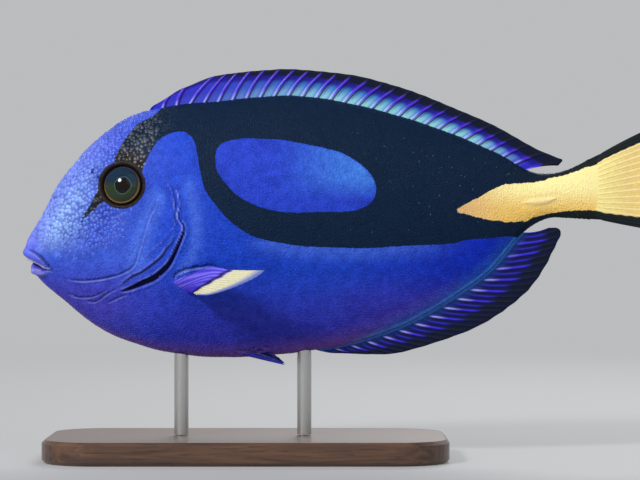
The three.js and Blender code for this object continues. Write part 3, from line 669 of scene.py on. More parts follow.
def girthAngles(places, columns, phase=0.0):
    # angles at even steps of arc length round the section, one row of them for each place
    turn, outlines = sectionOutlines(places, 721)
    columns, phase = np.broadcast_to(columns, len(places)), np.broadcast_to(phase, len(places))
    angles = []
    for n, p, outline in zip(columns, phase, outlines):
        travel = pathLength(outline)
        angles.append(np.interp((np.arange(n) + p) % n / n * travel[-1], travel, turn))
    return angles


def bodyNormal(place, angle):
    # outward normal from the slopes along the body and round it
    e = 0.01
    ahead, behind = np.maximum(place - e, 0), np.minimum(place + e, lastSection)
    down = bodyPoint(behind, angle) - bodyPoint(ahead, angle)
    across = bodyPoint(place, angle + e) - bodyPoint(place, angle - e)
    normal = np.cross(down, across)
    normal /= np.linalg.norm(normal, axis=-1, keepdims=True) + 1e-9
    outward = normal[..., 1] * np.sin(angle) + normal[..., 2] * np.cos(angle)
    return normal * np.sign(outward + 1e-9)[..., None]


def surfaceFields(points):
    # outward lift, and everything that the skin and its scales are coloured by
    lift, creaseShade, rim = skinRelief(points)
    edge = darkEdge(points)
    return lift, dict(tint=blueTint(points, edge), blackEdge=edge, yellowEdge=yellowEdge(points),
                      creaseShade=creaseShade, rim=rim, eyeSide=smooth(15, 9, eyeDistance(points)))


def rowFaces(starts, columns):
    # triangles between each row of points and the next; where one row has twice the columns,
    # one edge of the coarse row meets two of the fine row
    faces = []
    for k in range(len(columns) - 1):
        a, b, n, m = starts[k], starts[k + 1], columns[k], columns[k + 1]
        j = np.arange(min(n, m))
        if n == m:
            p, q = a + j, a + (j + 1) % n
            faces += [np.column_stack([p, q, p + n]), np.column_stack([q, q + n, p + n])]
        else:
            coarse, fine = (a, b) if n < m else (b, a)
            p, q = coarse + j, coarse + (j + 1) % len(j)
            u, v, w = fine + 2 * j, fine + 2 * j + 1, fine + (2 * j + 2) % max(n, m)
            made = [np.column_stack(corners) for corners in ([p, v, u], [p, q, v], [q, w, v])]
            faces += made if n < m else [f[:, ::-1] for f in made]
    return faces


def makeSkin(material, s=skinSize):
    # the body's sections from snout to tail root, moved along their normals by the relief
    places, columns = [], []
    for first, last, rows, count in s["bands"]:
        t = np.linspace(0, 1, rows + 1)[1:]
        places.append(first + (last - first) * (t ** s["crowding"] if first == 0 else t))
        columns += [count] * rows
    places = np.concatenate(places)
    starts = np.concatenate([[0], np.cumsum(columns)])
    place, angle = np.repeat(places, columns), np.concatenate(girthAngles(places, columns))
    base = bodyPoint(place, angle)
    lift, fields = surfaceFields(base)

    # the skin shows between the cobbles, darkened there with painted shade in the cracks
    crackShading = smooth(*s["crackShadeIn"], cobbled(base)) * smooth(*s["crackShadeEye"], eyeDistance(base))
    crackShading *= mix(*s["crackShadeAmount"], smooth(*s["crackShadeHeight"], base[:, 2]))
    fields["tint"] = layered(fields["tint"], (palette["crackShade"], crackShading))
    points = base + bodyNormal(place, angle) * (lift - s["inset"])[:, None]

    # both ends are closed by a fan round one more point
    n, m, rear = columns[0], columns[-1], starts[-2]
    j, k = np.arange(n), np.arange(m)
    fans = [np.column_stack([np.full(n, len(points)), (j + 1) % n, j]),
            np.column_stack([np.full(m, len(points) + 1), rear + k, rear + (k + 1) % m])]
    vertices = np.vstack([points, points[:n].mean(0), points[rear:].mean(0)])
    fields = {key: np.concatenate([v, v[:1], v[-1:]]) for key, v in fields.items()}
    faces = np.vstack(rowFaces(starts, columns) + fans)[:, ::-1]
    piece = makePiece("skin", vertices, faces, fields, material, ["head", "torso", "tail"])


# Scales: small domes in staggered rows round the body, cobbles on the face and grains behind.
# A dome is a list of rings: radius, rise and setback, in shares of pitch and height. side is
# 1 for scales inside the cobbled field and -1 for those outside it, past x = start
scaleRules = dict(rowGap=0.87, sizes=(0.84, 1.12), foot=0.07, stretch=(0.5, 1.9), eyeGap=8.6,
                  creaseShade=0.12, rim=0.2)
scaleSets = dict(
    cobbles=dict(scaleRules, span=(0.9, 6.3), pitch=1.42, height=0.4, sides=9, seed=3, side=1,
                 rise=(0.45, 1.25), jitter=0.34, crackShade=0.7, ragged=0.25, fade=9,
                 border=(-1.5, 1.5), start=0,
                 dome=[(0.61, -0.12, 0.0), (0.5, 0.5, 0.03), (0.29, 0.9, 0.08), (0, 1, 0.11)]),
    grains=dict(scaleRules, span=(0.8, 15.6), pitch=0.92, height=0.07, sides=6, seed=4, side=-1,
                rise=(0.2, 1.6), jitter=0.33, crackShade=0.15, ragged=0.13, parting=88,
                border=(-1.0, 2.0), start=12,
                dome=[(0.61, -0.12, 0.0), (0.4, 0.75, 0.04), (0, 1, 0.11)]),
)
cobbleField = np.array([
    (8.4, 37.2), (17.0, 35.0), (25.0, 36.4), (31, 38.5), (35.5, 42), (38, 49), (40.5, 56),
    (43, 67), (47.5, 77), (52, 100), (-40, 100), (-40, 60), (1.0, 41.5)])


def cobbled(points):
    # how far a place lies inside the cobbled field, which ends at a line from mouth to band
    return insideOf(points[:, [0, 2]], cobbleField)


def keptScales(points, s, local):
    # scales on their own side of the field's ragged border, clear of eye, lips and folds
    _, creased, rimmed = skinRelief(points)
    inside = cobbled(points) - local.uniform(*s["border"], len(points))
    kept = (inside * s["side"] > 0) & (eyeDistance(points) > s["eyeGap"])
    return kept & (points[:, 0] > s["start"]) & (creased < s["creaseShade"]) & (rimmed < s["rim"])


def scalePlaces(s, local):
    # rows at even steps along the flank, scales at even steps round it; a row's scales are
    # staggered against its neighbours', and all are moved at random by a share of a step
    dense = np.linspace(*s["span"], 1500)
    travel = pathLength(bodyPoint(dense, np.full(len(dense), np.pi / 2)))
    rowCount = int(travel[-1] / (s["pitch"] * s["rowGap"]))
    rows = np.interp(np.linspace(0, travel[-1], rowCount), travel, dense)
    girth = np.array([pathLength(outline)[-1] for outline in sectionOutlines(rows, 181)[1]])
    counts = np.maximum(6, np.round(girth / s["pitch"])).astype(int)
    stagger = 0.25 + 0.5 * (np.arange(rowCount) % 2)
    place, angle = np.repeat(rows, counts), np.concatenate(girthAngles(rows, counts, stagger))
    rowStep, turnStep = np.repeat([np.gradient(rows), 2 * np.pi / counts], counts, axis=1)
    place = np.clip(place + rowStep * s["jitter"] * local.uniform(-1, 1, len(place)), 0.1, 15.9)
    angle = angle + turnStep * s["jitter"] * local.uniform(-1, 1, len(angle))
    kept = keptScales(bodyPoint(place, angle), s, local)
    return place[kept], angle[kept], rowStep[kept]


def scaleAxes(place, angle, rowStep, s):
    # outward normal, and directions along and round the body that are a scale's step long
    normal = bodyNormal(place, angle)
    behind = bodyPoint(np.minimum(place + rowStep / 2, lastSection), angle)
    alongBody = behind - bodyPoint(place - rowStep / 2, angle)
    reach = np.linalg.norm(alongBody, axis=1, keepdims=True)
    alongBody *= np.clip(reach, *np.array(s["stretch"]) * s["pitch"]) / reach
    straight = alongBody / np.linalg.norm(alongBody, axis=1, keepdims=True)
    return normal, alongBody, np.cross(normal, straight) * s["pitch"]


def scaleDomes(base, lift, axes, s, local):
    # rings of ragged radius stacked along the normal; flat is each corner's place on its scale
    normal, alongBody, roundBody = [axis[:, None] for axis in axes]
    count, sides = len(base), s["sides"]
    wobble = local.uniform(1 - s["ragged"], 1 + s["ragged"], (count, sides))
    size = local.uniform(*s["sizes"], (count, 1))
    height = s["height"] * local.uniform(*s["rise"], (count, 1))
    if "fade" in s:
        height *= mix(0.3, 1, smooth(0, s["fade"], cobbled(base)))[:, None]
    a = np.linspace(0, 2 * np.pi, sides, False)
    rings, flats = [], []
    for radius, rise, setBack in s["dome"]:
        n = sides if radius else 1
        u = (radius * wobble[:, :n] * np.cos(a[:n]) + setBack) * size
        v = radius * wobble[:, :n] * np.sin(a[:n]) * size
        up = rise * height - (s["foot"] if rise < 0 else 0) + (lift - skinSize["inset"])[:, None]
        rings.append(base[:, None] + u[..., None] * alongBody + v[..., None] * roundBody
                     + up[..., None] * normal)
        flats.append(np.stack([u, v], -1))
    return np.concatenate(rings, 1), np.concatenate(flats, 1)


def domeFaces(rings, sides):
    # triangles between the rings of one scale, and a fan round its top
    j = np.arange(sides)
    following = (j + 1) % sides
    faces = []
    for lower in range(0, (rings - 2) * sides, sides):
        upper = lower + sides
        faces += [np.column_stack([lower + j, lower + following, upper + following]),
                  np.column_stack([lower + j, upper + following, upper + j])]
    top = (rings - 2) * sides
    faces.append(np.column_stack([top + j, top + following, np.full(sides, top + sides)]))
    return np.vstack(faces)[:, ::-1]


def scaleFields(base, fields, axes, flat):
    # a scale's corners share its values, but signed distances follow the scale's own slope, so
    # that an edge runs on across it
    spread = {key: np.repeat(values, flat.shape[1], 0) for key, values in fields.items()}
    for key, field in (("blackEdge", darkEdge), ("yellowEdge", yellowEdge)):
        edge = fields[key][:, None]
        for k, axis in enumerate(axes[1:]):
            slope = np.clip(field(base + axis) - fields[key], -2, 2)
            edge = edge + flat[..., k] * slope[:, None]
        spread[key] = edge.ravel()
    return spread


def makeScales(name, material, s):
    # domes at their places; a parting makes four pieces of them: left and right, front and rear
    local = np.random.default_rng(s["seed"])
    place, angle, rowStep = scalePlaces(s, local)
    base, axes = bodyPoint(place, angle), scaleAxes(place, angle, rowStep, s)
    lift, fields = surfaceFields(base)
    vertices, flat = scaleDomes(base, lift, axes, s, local)
    per, sides = vertices.shape[1], s["sides"]
    pattern = domeFaces(len(s["dome"]), sides)
    spread = scaleFields(base, fields, axes, flat)
    # each scale's shade is a random tone, lowered on its foot ring for painted shade there
    low = np.concatenate([np.full(sides if ring[0] else 1, ring[1] < 0) for ring in s["dome"]])
    spread["shade"] = (local.random((len(base), 1)) - s["crackShade"] * low).ravel()
    around = 0.96 * angle % (2 * np.pi) / (2 * np.pi)
    uv = 0.02 + np.column_stack([0.96 * place / lastSection, around])
    uv = (uv[:, None] + flat * 0.0024).reshape(-1, 2)
    parts = {"": np.full(len(base), True)}
    if "parting" in s:
        left, front = base[:, 1] <= 0, base[:, 0] < s["parting"]
        parts = {"_left_front": left & front, "_left_rear": left & ~front,
                 "_right_front": ~left & front, "_right_rear": ~left & ~front}
    for ending, members in parts.items():
        chosen = np.repeat(members, per)
        starts = np.arange(members.sum()) * per
        faces = (pattern[None] + starts[:, None, None]).reshape(-1, 3)
        piece = makePiece(name + ending, vertices.reshape(-1, 3)[chosen], faces,
                          {key: value[chosen] for key, value in spread.items()}, material)
        layer = piece.data.uv_layers.new(name="OFBake")
        loops = np.empty(len(piece.data.loops), np.int32)
        piece.data.loops.foreach_get("vertex_index", loops)
        layer.data.foreach_set("uv", uv[chosen][loops].astype(np.float32).ravel())
        print("  ", name + ending, len(faces), "triangles")


def addScales():
    # both materials are made first, the cobbles' the glossier one
    material = fleshMaterial("tang-scales", forScales=True)
    glossy = fleshMaterial("tang-cobbles", forScales=True, gloss=0.34)
    makeScales("scales_cobbles", glossy, scaleSets["cobbles"])
    makeScales("scales_grains", material, scaleSets["grains"])


print("camera")
addCamera(cameraSet)
print("skin")
makeSkin(fleshMaterial("tang-skin"))
print("scales")
addScales()


# Eyes: a glossy dome with painted rings, set in the orbit
eyeSet = dict(
    centre=markings["eye"], radius=7.0, bulge=4.6, sunk=2.35, iris=6.35, pupil=2.85,
    aside=0.9, below=0.4,    # of the pupil, from the middle of the dome
    # the upper iris colour is a painted reflection
    upper=linear(0, 34, 62), lower=linear(40, 52, 32), haze=linear(30, 52, 42),
    hole=linear(14, 10, 8), pupilRim=linear(110, 150, 150), copperHigh=linear(84, 58, 44),
    copperLow=linear(190, 132, 84), socket=linear(30, 21, 18))


def flankFrame(x, z):
    # a place on the left flank with its outward, rearward and upward directions
    step = 0.5
    slopeX = (flankAt(x + step, z) - flankAt(x - step, z)) / (2 * step)
    slopeZ = (flankAt(x, z + step) - flankAt(x, z - step)) / (2 * step)
    outward = np.array([-slopeX, -1.0, -slopeZ])
    outward /= np.linalg.norm(outward)
    rearward = np.cross([0, 0, 1.0], outward)
    rearward /= np.linalg.norm(rearward) * np.sign(rearward[0])
    up = np.cross(rearward, outward)
    return np.array([x, -float(flankAt(x, z)), z]), outward, rearward, up * np.sign(up[2])


def eyeMaterial():
    # painted rings with fine dark rays, under a clear coat
    m = Shader("tang-eye")
    tint = m.attribute("tint", "Color")
    ray = m.noise(1400, 3, 0.6)
    colour = m.blend(ray.step(0.3, 0.75) * 0.35, tint, m.blend(0.5, tint, (0, 0, 0)))
    return m.finish(Base_Color=colour, Roughness=m.noise(600) * 0.06 + 0.12, Coat_Weight=0.4,
                    Coat_Roughness=0.02, Specular_IOR_Level=0.03)


def makeEye(side, name, material, s=eyeSet):
    # half ellipsoid: radius sin(t) across, bulge cos(t) out; side is -1 on the left
    centre, outward, rearward, up = flankFrame(*s["centre"])
    rings, around = 90, 96
    t = np.linspace(0.001, 0.62 * np.pi, rings)[:, None]
    a = np.linspace(0, 2 * np.pi, around, endpoint=False)
    r = s["radius"] * np.sin(t) + 0 * a
    across, height = r * np.cos(a), r * np.sin(a)
    out = (s["bulge"] * np.cos(t) - s["sunk"])[..., None]
    points = centre + outward * out + rearward * across[..., None] + up * height[..., None]

    # the pupil's edge is a little uneven
    edge = s["pupil"] * (1 + 0.035 * np.cos(6 * a + 0.5)) * (1 + 0.12 * bell(a - 4.7, 0.22))
    toPupil = np.hypot(across - s["aside"], height + s["below"])
    copper = layered(s["copperHigh"], (s["copperLow"], smooth(5, -4, height)))
    # the iris turns from the lower colour to the upper one, a painted reflection, above its middle
    tint = layered(s["lower"], (s["upper"], smooth(-0.6, 1.2, height)),
                   (s["haze"], 0.35 * bell(toPupil - 4.4, 0.9)),
                   (s["hole"], smooth(edge + 0.05, edge - 0.1, toPupil)),
                   (s["pupilRim"], 0.5 * bell(toPupil - edge, 0.08)),
                   (copper, 0.8 * bell(r - s["iris"] + 0.2, 0.14)),
                   (s["socket"], smooth(s["iris"], s["iris"] + 0.3, r)))
    faces = gridFaces(rings, around, True)[:, ::side]    # so that both eyes face outwards
    piece = makePiece(name, points.reshape(-1, 3) * [1, -side, 1], faces,
                      dict(tint=tint.reshape(-1, 3)), material, [name])


print("eyes")
eyeFinish = eyeMaterial()
makeEye(-1, "eye_left", eyeFinish)
makeEye(1, "eye_right", eyeFinish)


# Fins: a sheet of rays and web, from the body to the margin
finLook = dict(roughness=0.42, grainSize=1800, grainDepth=0.00005, coat=0.05, gloss=0.12)


def paintedMaterial(name, s=finLook):
    # fins: their colours lie on the mesh, with fine grain over them
    m = Shader(name)
    tint = m.attribute("tint", "Color")
    speckle = m.noise(900, 3, 0.6)
    colour = m.blend(speckle.step(0.3, 0.7) * 0.22, tint, m.blend(0.5, tint, (0, 0, 0)))
    normal = m.bump(m.noise(s["grainSize"]), s["grainDepth"], 0.6)
    rough = m.noise(400) * 0.16 + (s["roughness"] - 0.08)
    return m.finish(Base_Color=colour, Roughness=rough, Normal=normal, Coat_Weight=s["coat"],
                    Coat_Roughness=0.2, Specular_IOR_Level=s["gloss"])


def secondRays(away):
    # 1 on the lesser rays, midway between the main ones
    return bell(np.abs(away) - 0.5, 0.08)


def finSheet(name, node, pointAt, colourAt, s, material, mirrorIt=False):
    # share runs across the rays and reach from root to margin; the half thickness is the web's,
    # plus a fleshy root's and a bell-shaped ridge on each ray, which may split past its fork
    share = np.linspace(0, 1, (s["rays"] - 1) * s["perRay"] + 1)
    reach = mix(s["start"], 1, np.linspace(0, 1, s["rows"]))
    reach, share = np.meshgrid(reach, share, indexing="ij")
    number = share * (s["rays"] - 1)
    away = number - np.round(number)
    split = 0.2 * smooth(s["fork"], 1.0, reach) if "fork" in s else 0
    ridge = bell(np.abs(away) - split, s["rayWidth"])
    notch = s["notch"] * smooth(0.5, 1, reach) * (1 - bell(away, 0.3))
    bent = reach * (1 - notch * (reach > 0))
    middle = pointAt(share, bent)
    half = s["web"] + s["ridge"] * ridge * (1 - 0.55 * np.clip(reach, 0, 1))
    if "fleshy" in s:
        half = half + s["fleshy"](share, bent)
    if "second" in s:
        half = half + s["second"] * secondRays(away) * (reach > 0)
    half = half * mix(1, 0.45, smooth(0.9, 1.0, reach))
    outward = s["normal"](middle) * half[..., None]
    vertices = np.vstack([(middle + outward).reshape(-1, 3), (middle - outward).reshape(-1, 3)])

    # the two faces of the sheet, and a rim that joins them all round
    count = share.size
    faces = gridFaces(*share.shape, False)
    number = np.arange(count).reshape(share.shape)
    loop = np.concatenate([number[0, :-1], number[:-1, -1], number[-1, :0:-1], number[:0:-1, 0]])
    following = np.roll(loop, -1)
    rim = np.column_stack([loop, following, following + count, loop + count])
    faces = np.vstack([faces, faces[:, ::-1] + count, rim])
    tint = np.tile(colourAt(share, reach, away, ridge).reshape(-1, 3), (2, 1))
    if mirrorIt:
        vertices, faces = vertices * [1, -1, 1], faces[:, ::-1]
    piece = makePiece(name, vertices, faces, dict(tint=tint), material, [node])
    mesh = bmesh.new()
    mesh.from_mesh(piece.data)
    bmesh.ops.recalc_face_normals(mesh, faces=mesh.faces)
    mesh.to_mesh(piece.data)
    mesh.free()


def medianPoint(keys, rootAt, bow, evenly=True, gather=0.0):
    # rays run from even steps along the body's edge to the key tips, bent sideways by a low bow;
    # inside the body they may gather towards the middle one
    dense = np.linspace(0, len(keys) - 1, 600)
    travel = pathLength(rootAt(along(keys, dense)[..., 0]))

    def pointAt(share, reach):
        share = 0.5 + (share - 0.5) * (1 + gather * np.minimum(reach, 0))
        place = share * (len(keys) - 1)
        if evenly:
            place = np.interp(share * travel[-1], travel, dense)
        row = along(keys, place)
        root = rootAt(row[..., 0])
        span = row[..., 1:3] - root
        r = reach[..., None]
        bend = bow(share)[..., None] * 4 * r * (1 - r) / np.linalg.norm(span, axis=-1, keepdims=True)
        flat = root + span * r + bend * np.stack([-span[..., 1], span[..., 0]], -1)
        return np.stack([flat[..., 0], np.zeros_like(reach), flat[..., 1]], -1)
    return pointAt


def acrossMirror(middle):
    # the median fins lie in the mirror plane, so they all thicken straight across it
    return np.broadcast_to(np.array([0, 1.0, 0]), middle.shape)


def sheetNormal(middle):
    # the normal of a curved sheet, from its slopes across and down the grid
    normal = np.cross(np.gradient(middle, axis=1), np.gradient(middle, axis=0))
    return normal / (np.linalg.norm(normal, axis=-1, keepdims=True) + 1e-9)


def alongShare(share, pairs):
    # straight lines through the pairs of share and value
    return np.interp(share, *np.array(pairs).T)


# A key is a place on the body's sections and the x, z of the ray's tip
dorsalSet = dict(
    keys=[[5.55, 48.4, 89.2], [5.95, 54.4, 93.4], [6.17, 58.5, 95.2], [6.36, 66.9, 98.5],
          [6.94, 77.4, 100.1], [7.33, 85.7, 100.8], [7.73, 95.5, 101.1], [8.59, 114.4, 99.3],
          [9.01, 124.9, 97.0], [9.68, 137.7, 93.1], [10.43, 151.7, 87.4], [11.23, 165.5, 81.4],
          [12.27, 179.5, 73.6], [12.71, 187.0, 70.4], [12.9, 189.4, 69.3], [12.98, 187.8, 67.3]],
    rays=29, perRay=20, rows=56, ridge=0.3, rayWidth=0.09, notch=0.012, start=-0.12, web=0.16,
    normal=acrossMirror,
    margin=[(0, 1.02), (0.12, 0.9), (0.3, 0.72), (0.5, 0.66), (0.7, 0.6), (0.85, 0.54), (1, 0.42)],
    patches=[(0, 0), (0.16, 0.1), (0.32, 0.55), (0.46, 0.95), (0.84, 1), (0.93, 0.5), (0.98, 0)])
analSet = dict(
    keys=[[8.45, 113.2, 1.8], [8.8, 122.2, 1.3], [9.25, 133.5, 2.1], [10.02, 153.7, 8.4],
          [10.5, 165.4, 14.2], [11.25, 176.3, 22.6], [11.81, 182.4, 30.4], [12.37, 186.7, 38.6],
          [12.83, 188.9, 43.6], [13.0, 187.8, 45.5], [13.15, 184.5, 45.6]],
    rays=16, perRay=22, rows=56, ridge=0.32, rayWidth=0.1, second=0.14, notch=0.015,
    start=-0.12, web=0.16, normal=acrossMirror,
    margin=[(0, 0.5), (0.3, 0.58), (0.7, 0.66), (1, 0.72)])
finInk = dict(
    black=linear(5, 16, 40), deep=linear(21, 15, 124), ray=linear(82, 40, 222),
    cyan=linear(146, 212, 220), azure=linear(56, 124, 186), front=linear(46, 40, 184),
    lilac=linear(160, 164, 250), navy=linear(8, 12, 66), web=linear(24, 60, 144),
    edge=linear(52, 118, 196), spear=linear(158, 152, 236), violet=linear(56, 44, 224),
    dim=linear(40, 40, 190))


def dorsalColour(share, reach, away, ridge, c=finInk, s=dorsalSet):
    # violet rays with a painted highlight at the root and a painted shadow line behind, turquoise
    # webs and a black margin
    margin = alongShare(share, s["margin"])
    arched = reach + 0.8 * (0.5 - np.abs(away)) ** 2
    patch = alongShare(share, s["patches"]) * smooth(margin - 0.02, margin - 0.22, arched)
    light = layered(c["cyan"], (c["azure"], smooth(0.02, 0.45, reach)))
    web = layered(c["front"], (light, 0.96 * patch),
                  (c["navy"], 0.55 * patch * bell(away - 0.34, 0.045) * smooth(0.02, 0.2, reach)),
                  (c["deep"], 0.9 * smooth(margin - 0.3, margin - 0.1, reach)),
                  (c["front"], 0.5 * bell(away + 0.2, 0.1) * smooth(0.9, 0.4, reach)),
                  (c["black"], smooth(margin - 0.06, margin + 0.07, reach)),
                  (c["navy"], bell(away - 0.165, 0.075) * smooth(1.0, 0.6, reach)))
    end = margin + 0.28 * (1 - share) + 0.06
    ray = layered(c["lilac"], (c["ray"], smooth(0.0, 0.32, reach)),
                  (c["black"], smooth(end - 0.14, end + 0.04, reach)))
    return layered(web, (ray, np.clip(ridge * 1.5 - 0.35, 0, 1)))


def analColour(share, reach, away, ridge, c=finInk, s=analSet):
    # spear-shaped lilac ray roots as painted highlights, each with a painted shadow line beside it,
    # on deep blue, dim rays between, and a broad black margin
    margin = alongShare(share, s["margin"])
    shown = smooth(0.1, 0.24, reach) * smooth(margin, margin - 0.2, reach)
    web = layered(c["web"], (c["navy"], smooth(0.06, 0.34, reach + 0.2 * np.abs(away))),
                  (c["black"], smooth(margin - 0.15, margin + 0.08, reach)),
                  (c["dim"], 0.85 * secondRays(away) * shown),
                  (c["navy"], 0.8 * bell(away + 0.2, 0.07) * smooth(0.06, 0.14, reach)))
    ray = layered(c["violet"], (c["spear"], smooth(0.38, 0.16, reach) * smooth(0.98, 0.66, share)),
                  (c["black"], smooth(margin - 0.14, margin + 0.06, reach)))
    spear = smooth(0.05, 0.13, reach - 0.25 * np.abs(away))
    return layered(web, (ray, np.clip(ridge * 1.3 - 0.2, 0, 1) * spear),
                   (c["edge"], 0.85 * smooth(0.07, 0.0, reach)))


def tailRoot(share, reach):
    # thickness runs out of the body, most at mid height, and dies away in the fin
    middle = (2 * np.sqrt(np.clip(share * (1 - share), 0, 1))) ** 1.15
    return 2.0 * smooth(-0.32, 0.0, reach) * smooth(0.42, -0.04, reach) * middle


tailSet = dict(
    keys=[[0, 246.9, 89.9], [0.12, 245.2, 84.7], [0.3, 241.3, 75.6], [0.5, 239.6, 66.5],
          [0.7, 240.3, 56.7], [0.88, 243.1, 46.9], [1, 244.8, 41.3]],
    rays=18, perRay=22, rows=70, ridge=0.15, rayWidth=0.13, fork=0.22, notch=0.012, start=-0.14,
    gather=1.0, web=0.18, fleshy=tailRoot, normal=acrossMirror,
    upperBlack=[(0, 0.155), (0.31, 0.155), (1, 0.12)],
    lowerBlack=[(0, 0.84), (0.31, 0.835), (1, 0.87)],
    black=linear(21, 28, 32), yellow=linear(242, 226, 150), yellowRear=linear(242, 214, 132),
    rayRoot=linear(240, 214, 190), besideRay=linear(212, 164, 84), clear=linear(238, 228, 182))


def tailColour(share, reach, away, ridge, s=tailSet):
    # yellow with pale pinkish ray roots, black upper and lower margins, clear rear edge
    height = mix(0.5, 1, share)
    shown = smooth(0.08, 0.26, reach)
    yellow = layered(s["yellow"], (s["yellowRear"], smooth(0.0, 0.5, height * reach + 0.1)),
                     (s["rayRoot"], 0.55 * ridge * shown * smooth(0.5, 0.2, reach)),
                     (s["besideRay"], 0.45 * bell(np.abs(away) - 0.36, 0.1) * shown),
                     (s["clear"], 0.6 * smooth(0.93, 1, reach)))
    upper = share - alongShare(reach, s["upperBlack"]) + 0.004 * np.sin(reach * 90)
    lower = alongShare(reach, s["lowerBlack"]) - share + 0.004 * np.sin(reach * 70)
    return layered(s["black"], (yellow, smooth(-0.006, 0.006, np.minimum(upper, lower))))


def pectoralRoot(share, reach):
    # thickest where it leaves the body
    return 0.9 * smooth(0.3, -0.1, reach)


# Roots and tips of the paired fins lie on smooth curves, with y outwards
pectoralSet = dict(
    root=[[55.6, 27.6], [56.9, 26.3], [58.4, 24.9], [60.2, 23.3]],
    tips=[[86.1, 41, 31.1], [84.4, 41, 29.6], [80.2, 39, 27.3], [74.4, 35, 24.9],
          [67.6, 30, 22.8], [62.7, 25, 22.6]],
    arch=[0, 2.0, 2.9, 1.5, 0.6, 0], rays=16, perRay=14, rows=70, ridge=0.11, rayWidth=0.14,
    fork=0.45, notch=0.012, start=-0.1, web=0.17, fleshy=pectoralRoot, normal=sheetNormal,
    violet=linear(52, 40, 190), lilac=linear(136, 122, 248), deep=linear(26, 22, 120),
    cream=linear(216, 210, 168), creamRay=linear(184, 182, 160), line=linear(10, 10, 46),
    edge=linear(40, 78, 182))


def pectoralPoint(s=pectoralSet):
    # straight rays from a root on the flank to the tips, the upper ones arched upwards
    root = np.array([[x, float(flankAt(x, z)), z] for x, z in s["root"]])
    arch = np.array(s["arch"])[:, None]

    def pointAt(share, reach):
        a = along(root, share * (len(root) - 1))
        b = along(s["tips"], share * (len(s["tips"]) - 1))
        rise = along(arch, np.clip(reach, 0, 1) * (len(arch) - 1))[..., 0] * (1 - share)
        return mix(a, b, reach[..., None]) * [1, -1, 1] + rise[..., None] * np.array([0, 0, 1.0])
    return pointAt


def pectoralColour(share, reach, away, ridge, s=pectoralSet):
    # violet inner half with pale streaks, partly pattern and partly a painted highlight strongest at
    # the upper edge, a dark line, cream beyond it, and a clear blue rear edge
    wave = np.sin(share * 37 + reach * 6 + 2.4 * np.sin(reach * 8 + share * 9))
    streak = np.clip(0.4 + 0.35 * wave + 0.3 * ridge, 0, 1)
    inner = layered(s["violet"], (s["lilac"], streak * smooth(1.0, 0.2, share)),
                    (s["deep"], 0.7 * smooth(0.7, 0.95, share) * smooth(0.2, 0.6, reach)))
    cream = layered(s["cream"], (s["creamRay"], 0.8 * ridge))
    border = mix(0.63, 0.38, share) + 0.01 * np.sin(share * 25)
    line = bell(reach - border + 0.03, 0.026 + 0.06 * share ** 2)
    edge = smooth(0.84, 1.0, reach + 0.1 * share * (1 - share))
    return layered(inner, (cream, smooth(border, border + 0.03, reach)),
                   (s["line"], 0.95 * line), (s["edge"], 0.85 * edge))


pelvicSet = dict(
    root=[[77.6, 2.6, 1.4], [82.0, 2.9, 1.3], [87.6, 3.2, 1.6]],
    tips=[[92.3, 6.4, -2.2], [91.2, 6.0, -1.2], [89.9, 5.4, -0.1]],
    rays=4, perRay=18, rows=40, ridge=0.28, rayWidth=0.16, fork=0.5, notch=0.01, start=-0.2,
    web=0.22, normal=sheetNormal,
    deep=linear(24, 20, 104), ray=linear(40, 50, 190), line=linear(10, 12, 40))


def pelvicPoint(s=pelvicSet):
    # straight rays from root to tips
    def pointAt(share, reach):
        a, b = along(s["root"], share * 2), along(s["tips"], share * 2)
        return mix(a, b, reach[..., None]) * [1, -1, 1]
    return pointAt


def pelvicColour(share, reach, away, ridge, s=pelvicSet):
    # blue rays on a deep web, with a dark band towards the rear
    return layered(s["deep"], (s["ray"], 0.8 * ridge), (s["line"], 0.8 * bell(share - 0.8, 0.3)))


def upperEdge(place):
    # upper end of the section at each place, in the mirror plane
    return along(sections, place)[..., [0, 1]]


def lowerEdge(place):
    # lower end of the section at each place, in the mirror plane
    return along(sections, place)[..., [2, 3]]


def rearEdge(share):
    # down the end of the body, from its upper to its lower corner
    return mix(sections[-1, [0, 1]], sections[-1, [2, 3]], share[..., None])


def addFins():
    # each fin takes its own points and colours; bows are in mm, to the left of a ray in x, z
    paint, gold = paintedMaterial("tang-fin"), paintedMaterial("tang-tail-fin")
    dorsalPoint = medianPoint(dorsalSet["keys"], upperEdge, lambda share: 0.5 + 0 * share)
    analPoint = medianPoint(analSet["keys"], lowerEdge, lambda share: -0.5 + 0 * share)
    tailPoint = medianPoint(tailSet["keys"], rearEdge, evenly=False, gather=tailSet["gather"],
                            bow=lambda share: 1.6 * (1 - share) ** 2 - 0.5 * share ** 2)
    finSheet("dorsal_fin_dressed", "dorsal_fin", dorsalPoint, dorsalColour, dorsalSet, paint)
    finSheet("anal_fin_dressed", "anal_fin", analPoint, analColour, analSet, paint)
    finSheet("caudal_fin_dressed", "caudal_fin", tailPoint, tailColour, tailSet, gold)
    for side, mirrorIt in (("left", False), ("right", True)):
        finSheet("pectoral_fin_dressed_" + side, "pectoral_fin_" + side, pectoralPoint(),
                 pectoralColour, pectoralSet, paint, mirrorIt)
        finSheet("pelvic_fin_dressed_" + side, "pelvic_fin_" + side, pelvicPoint(),
                 pelvicColour, pelvicSet, paint, mirrorIt)


print("fins")
addFins()


# Stand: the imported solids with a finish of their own
standLook = dict(wood=linear(52, 33, 22), woodPale=linear(92, 60, 38), pore=linear(26, 16, 11),
                 steel=linear(190, 190, 188))


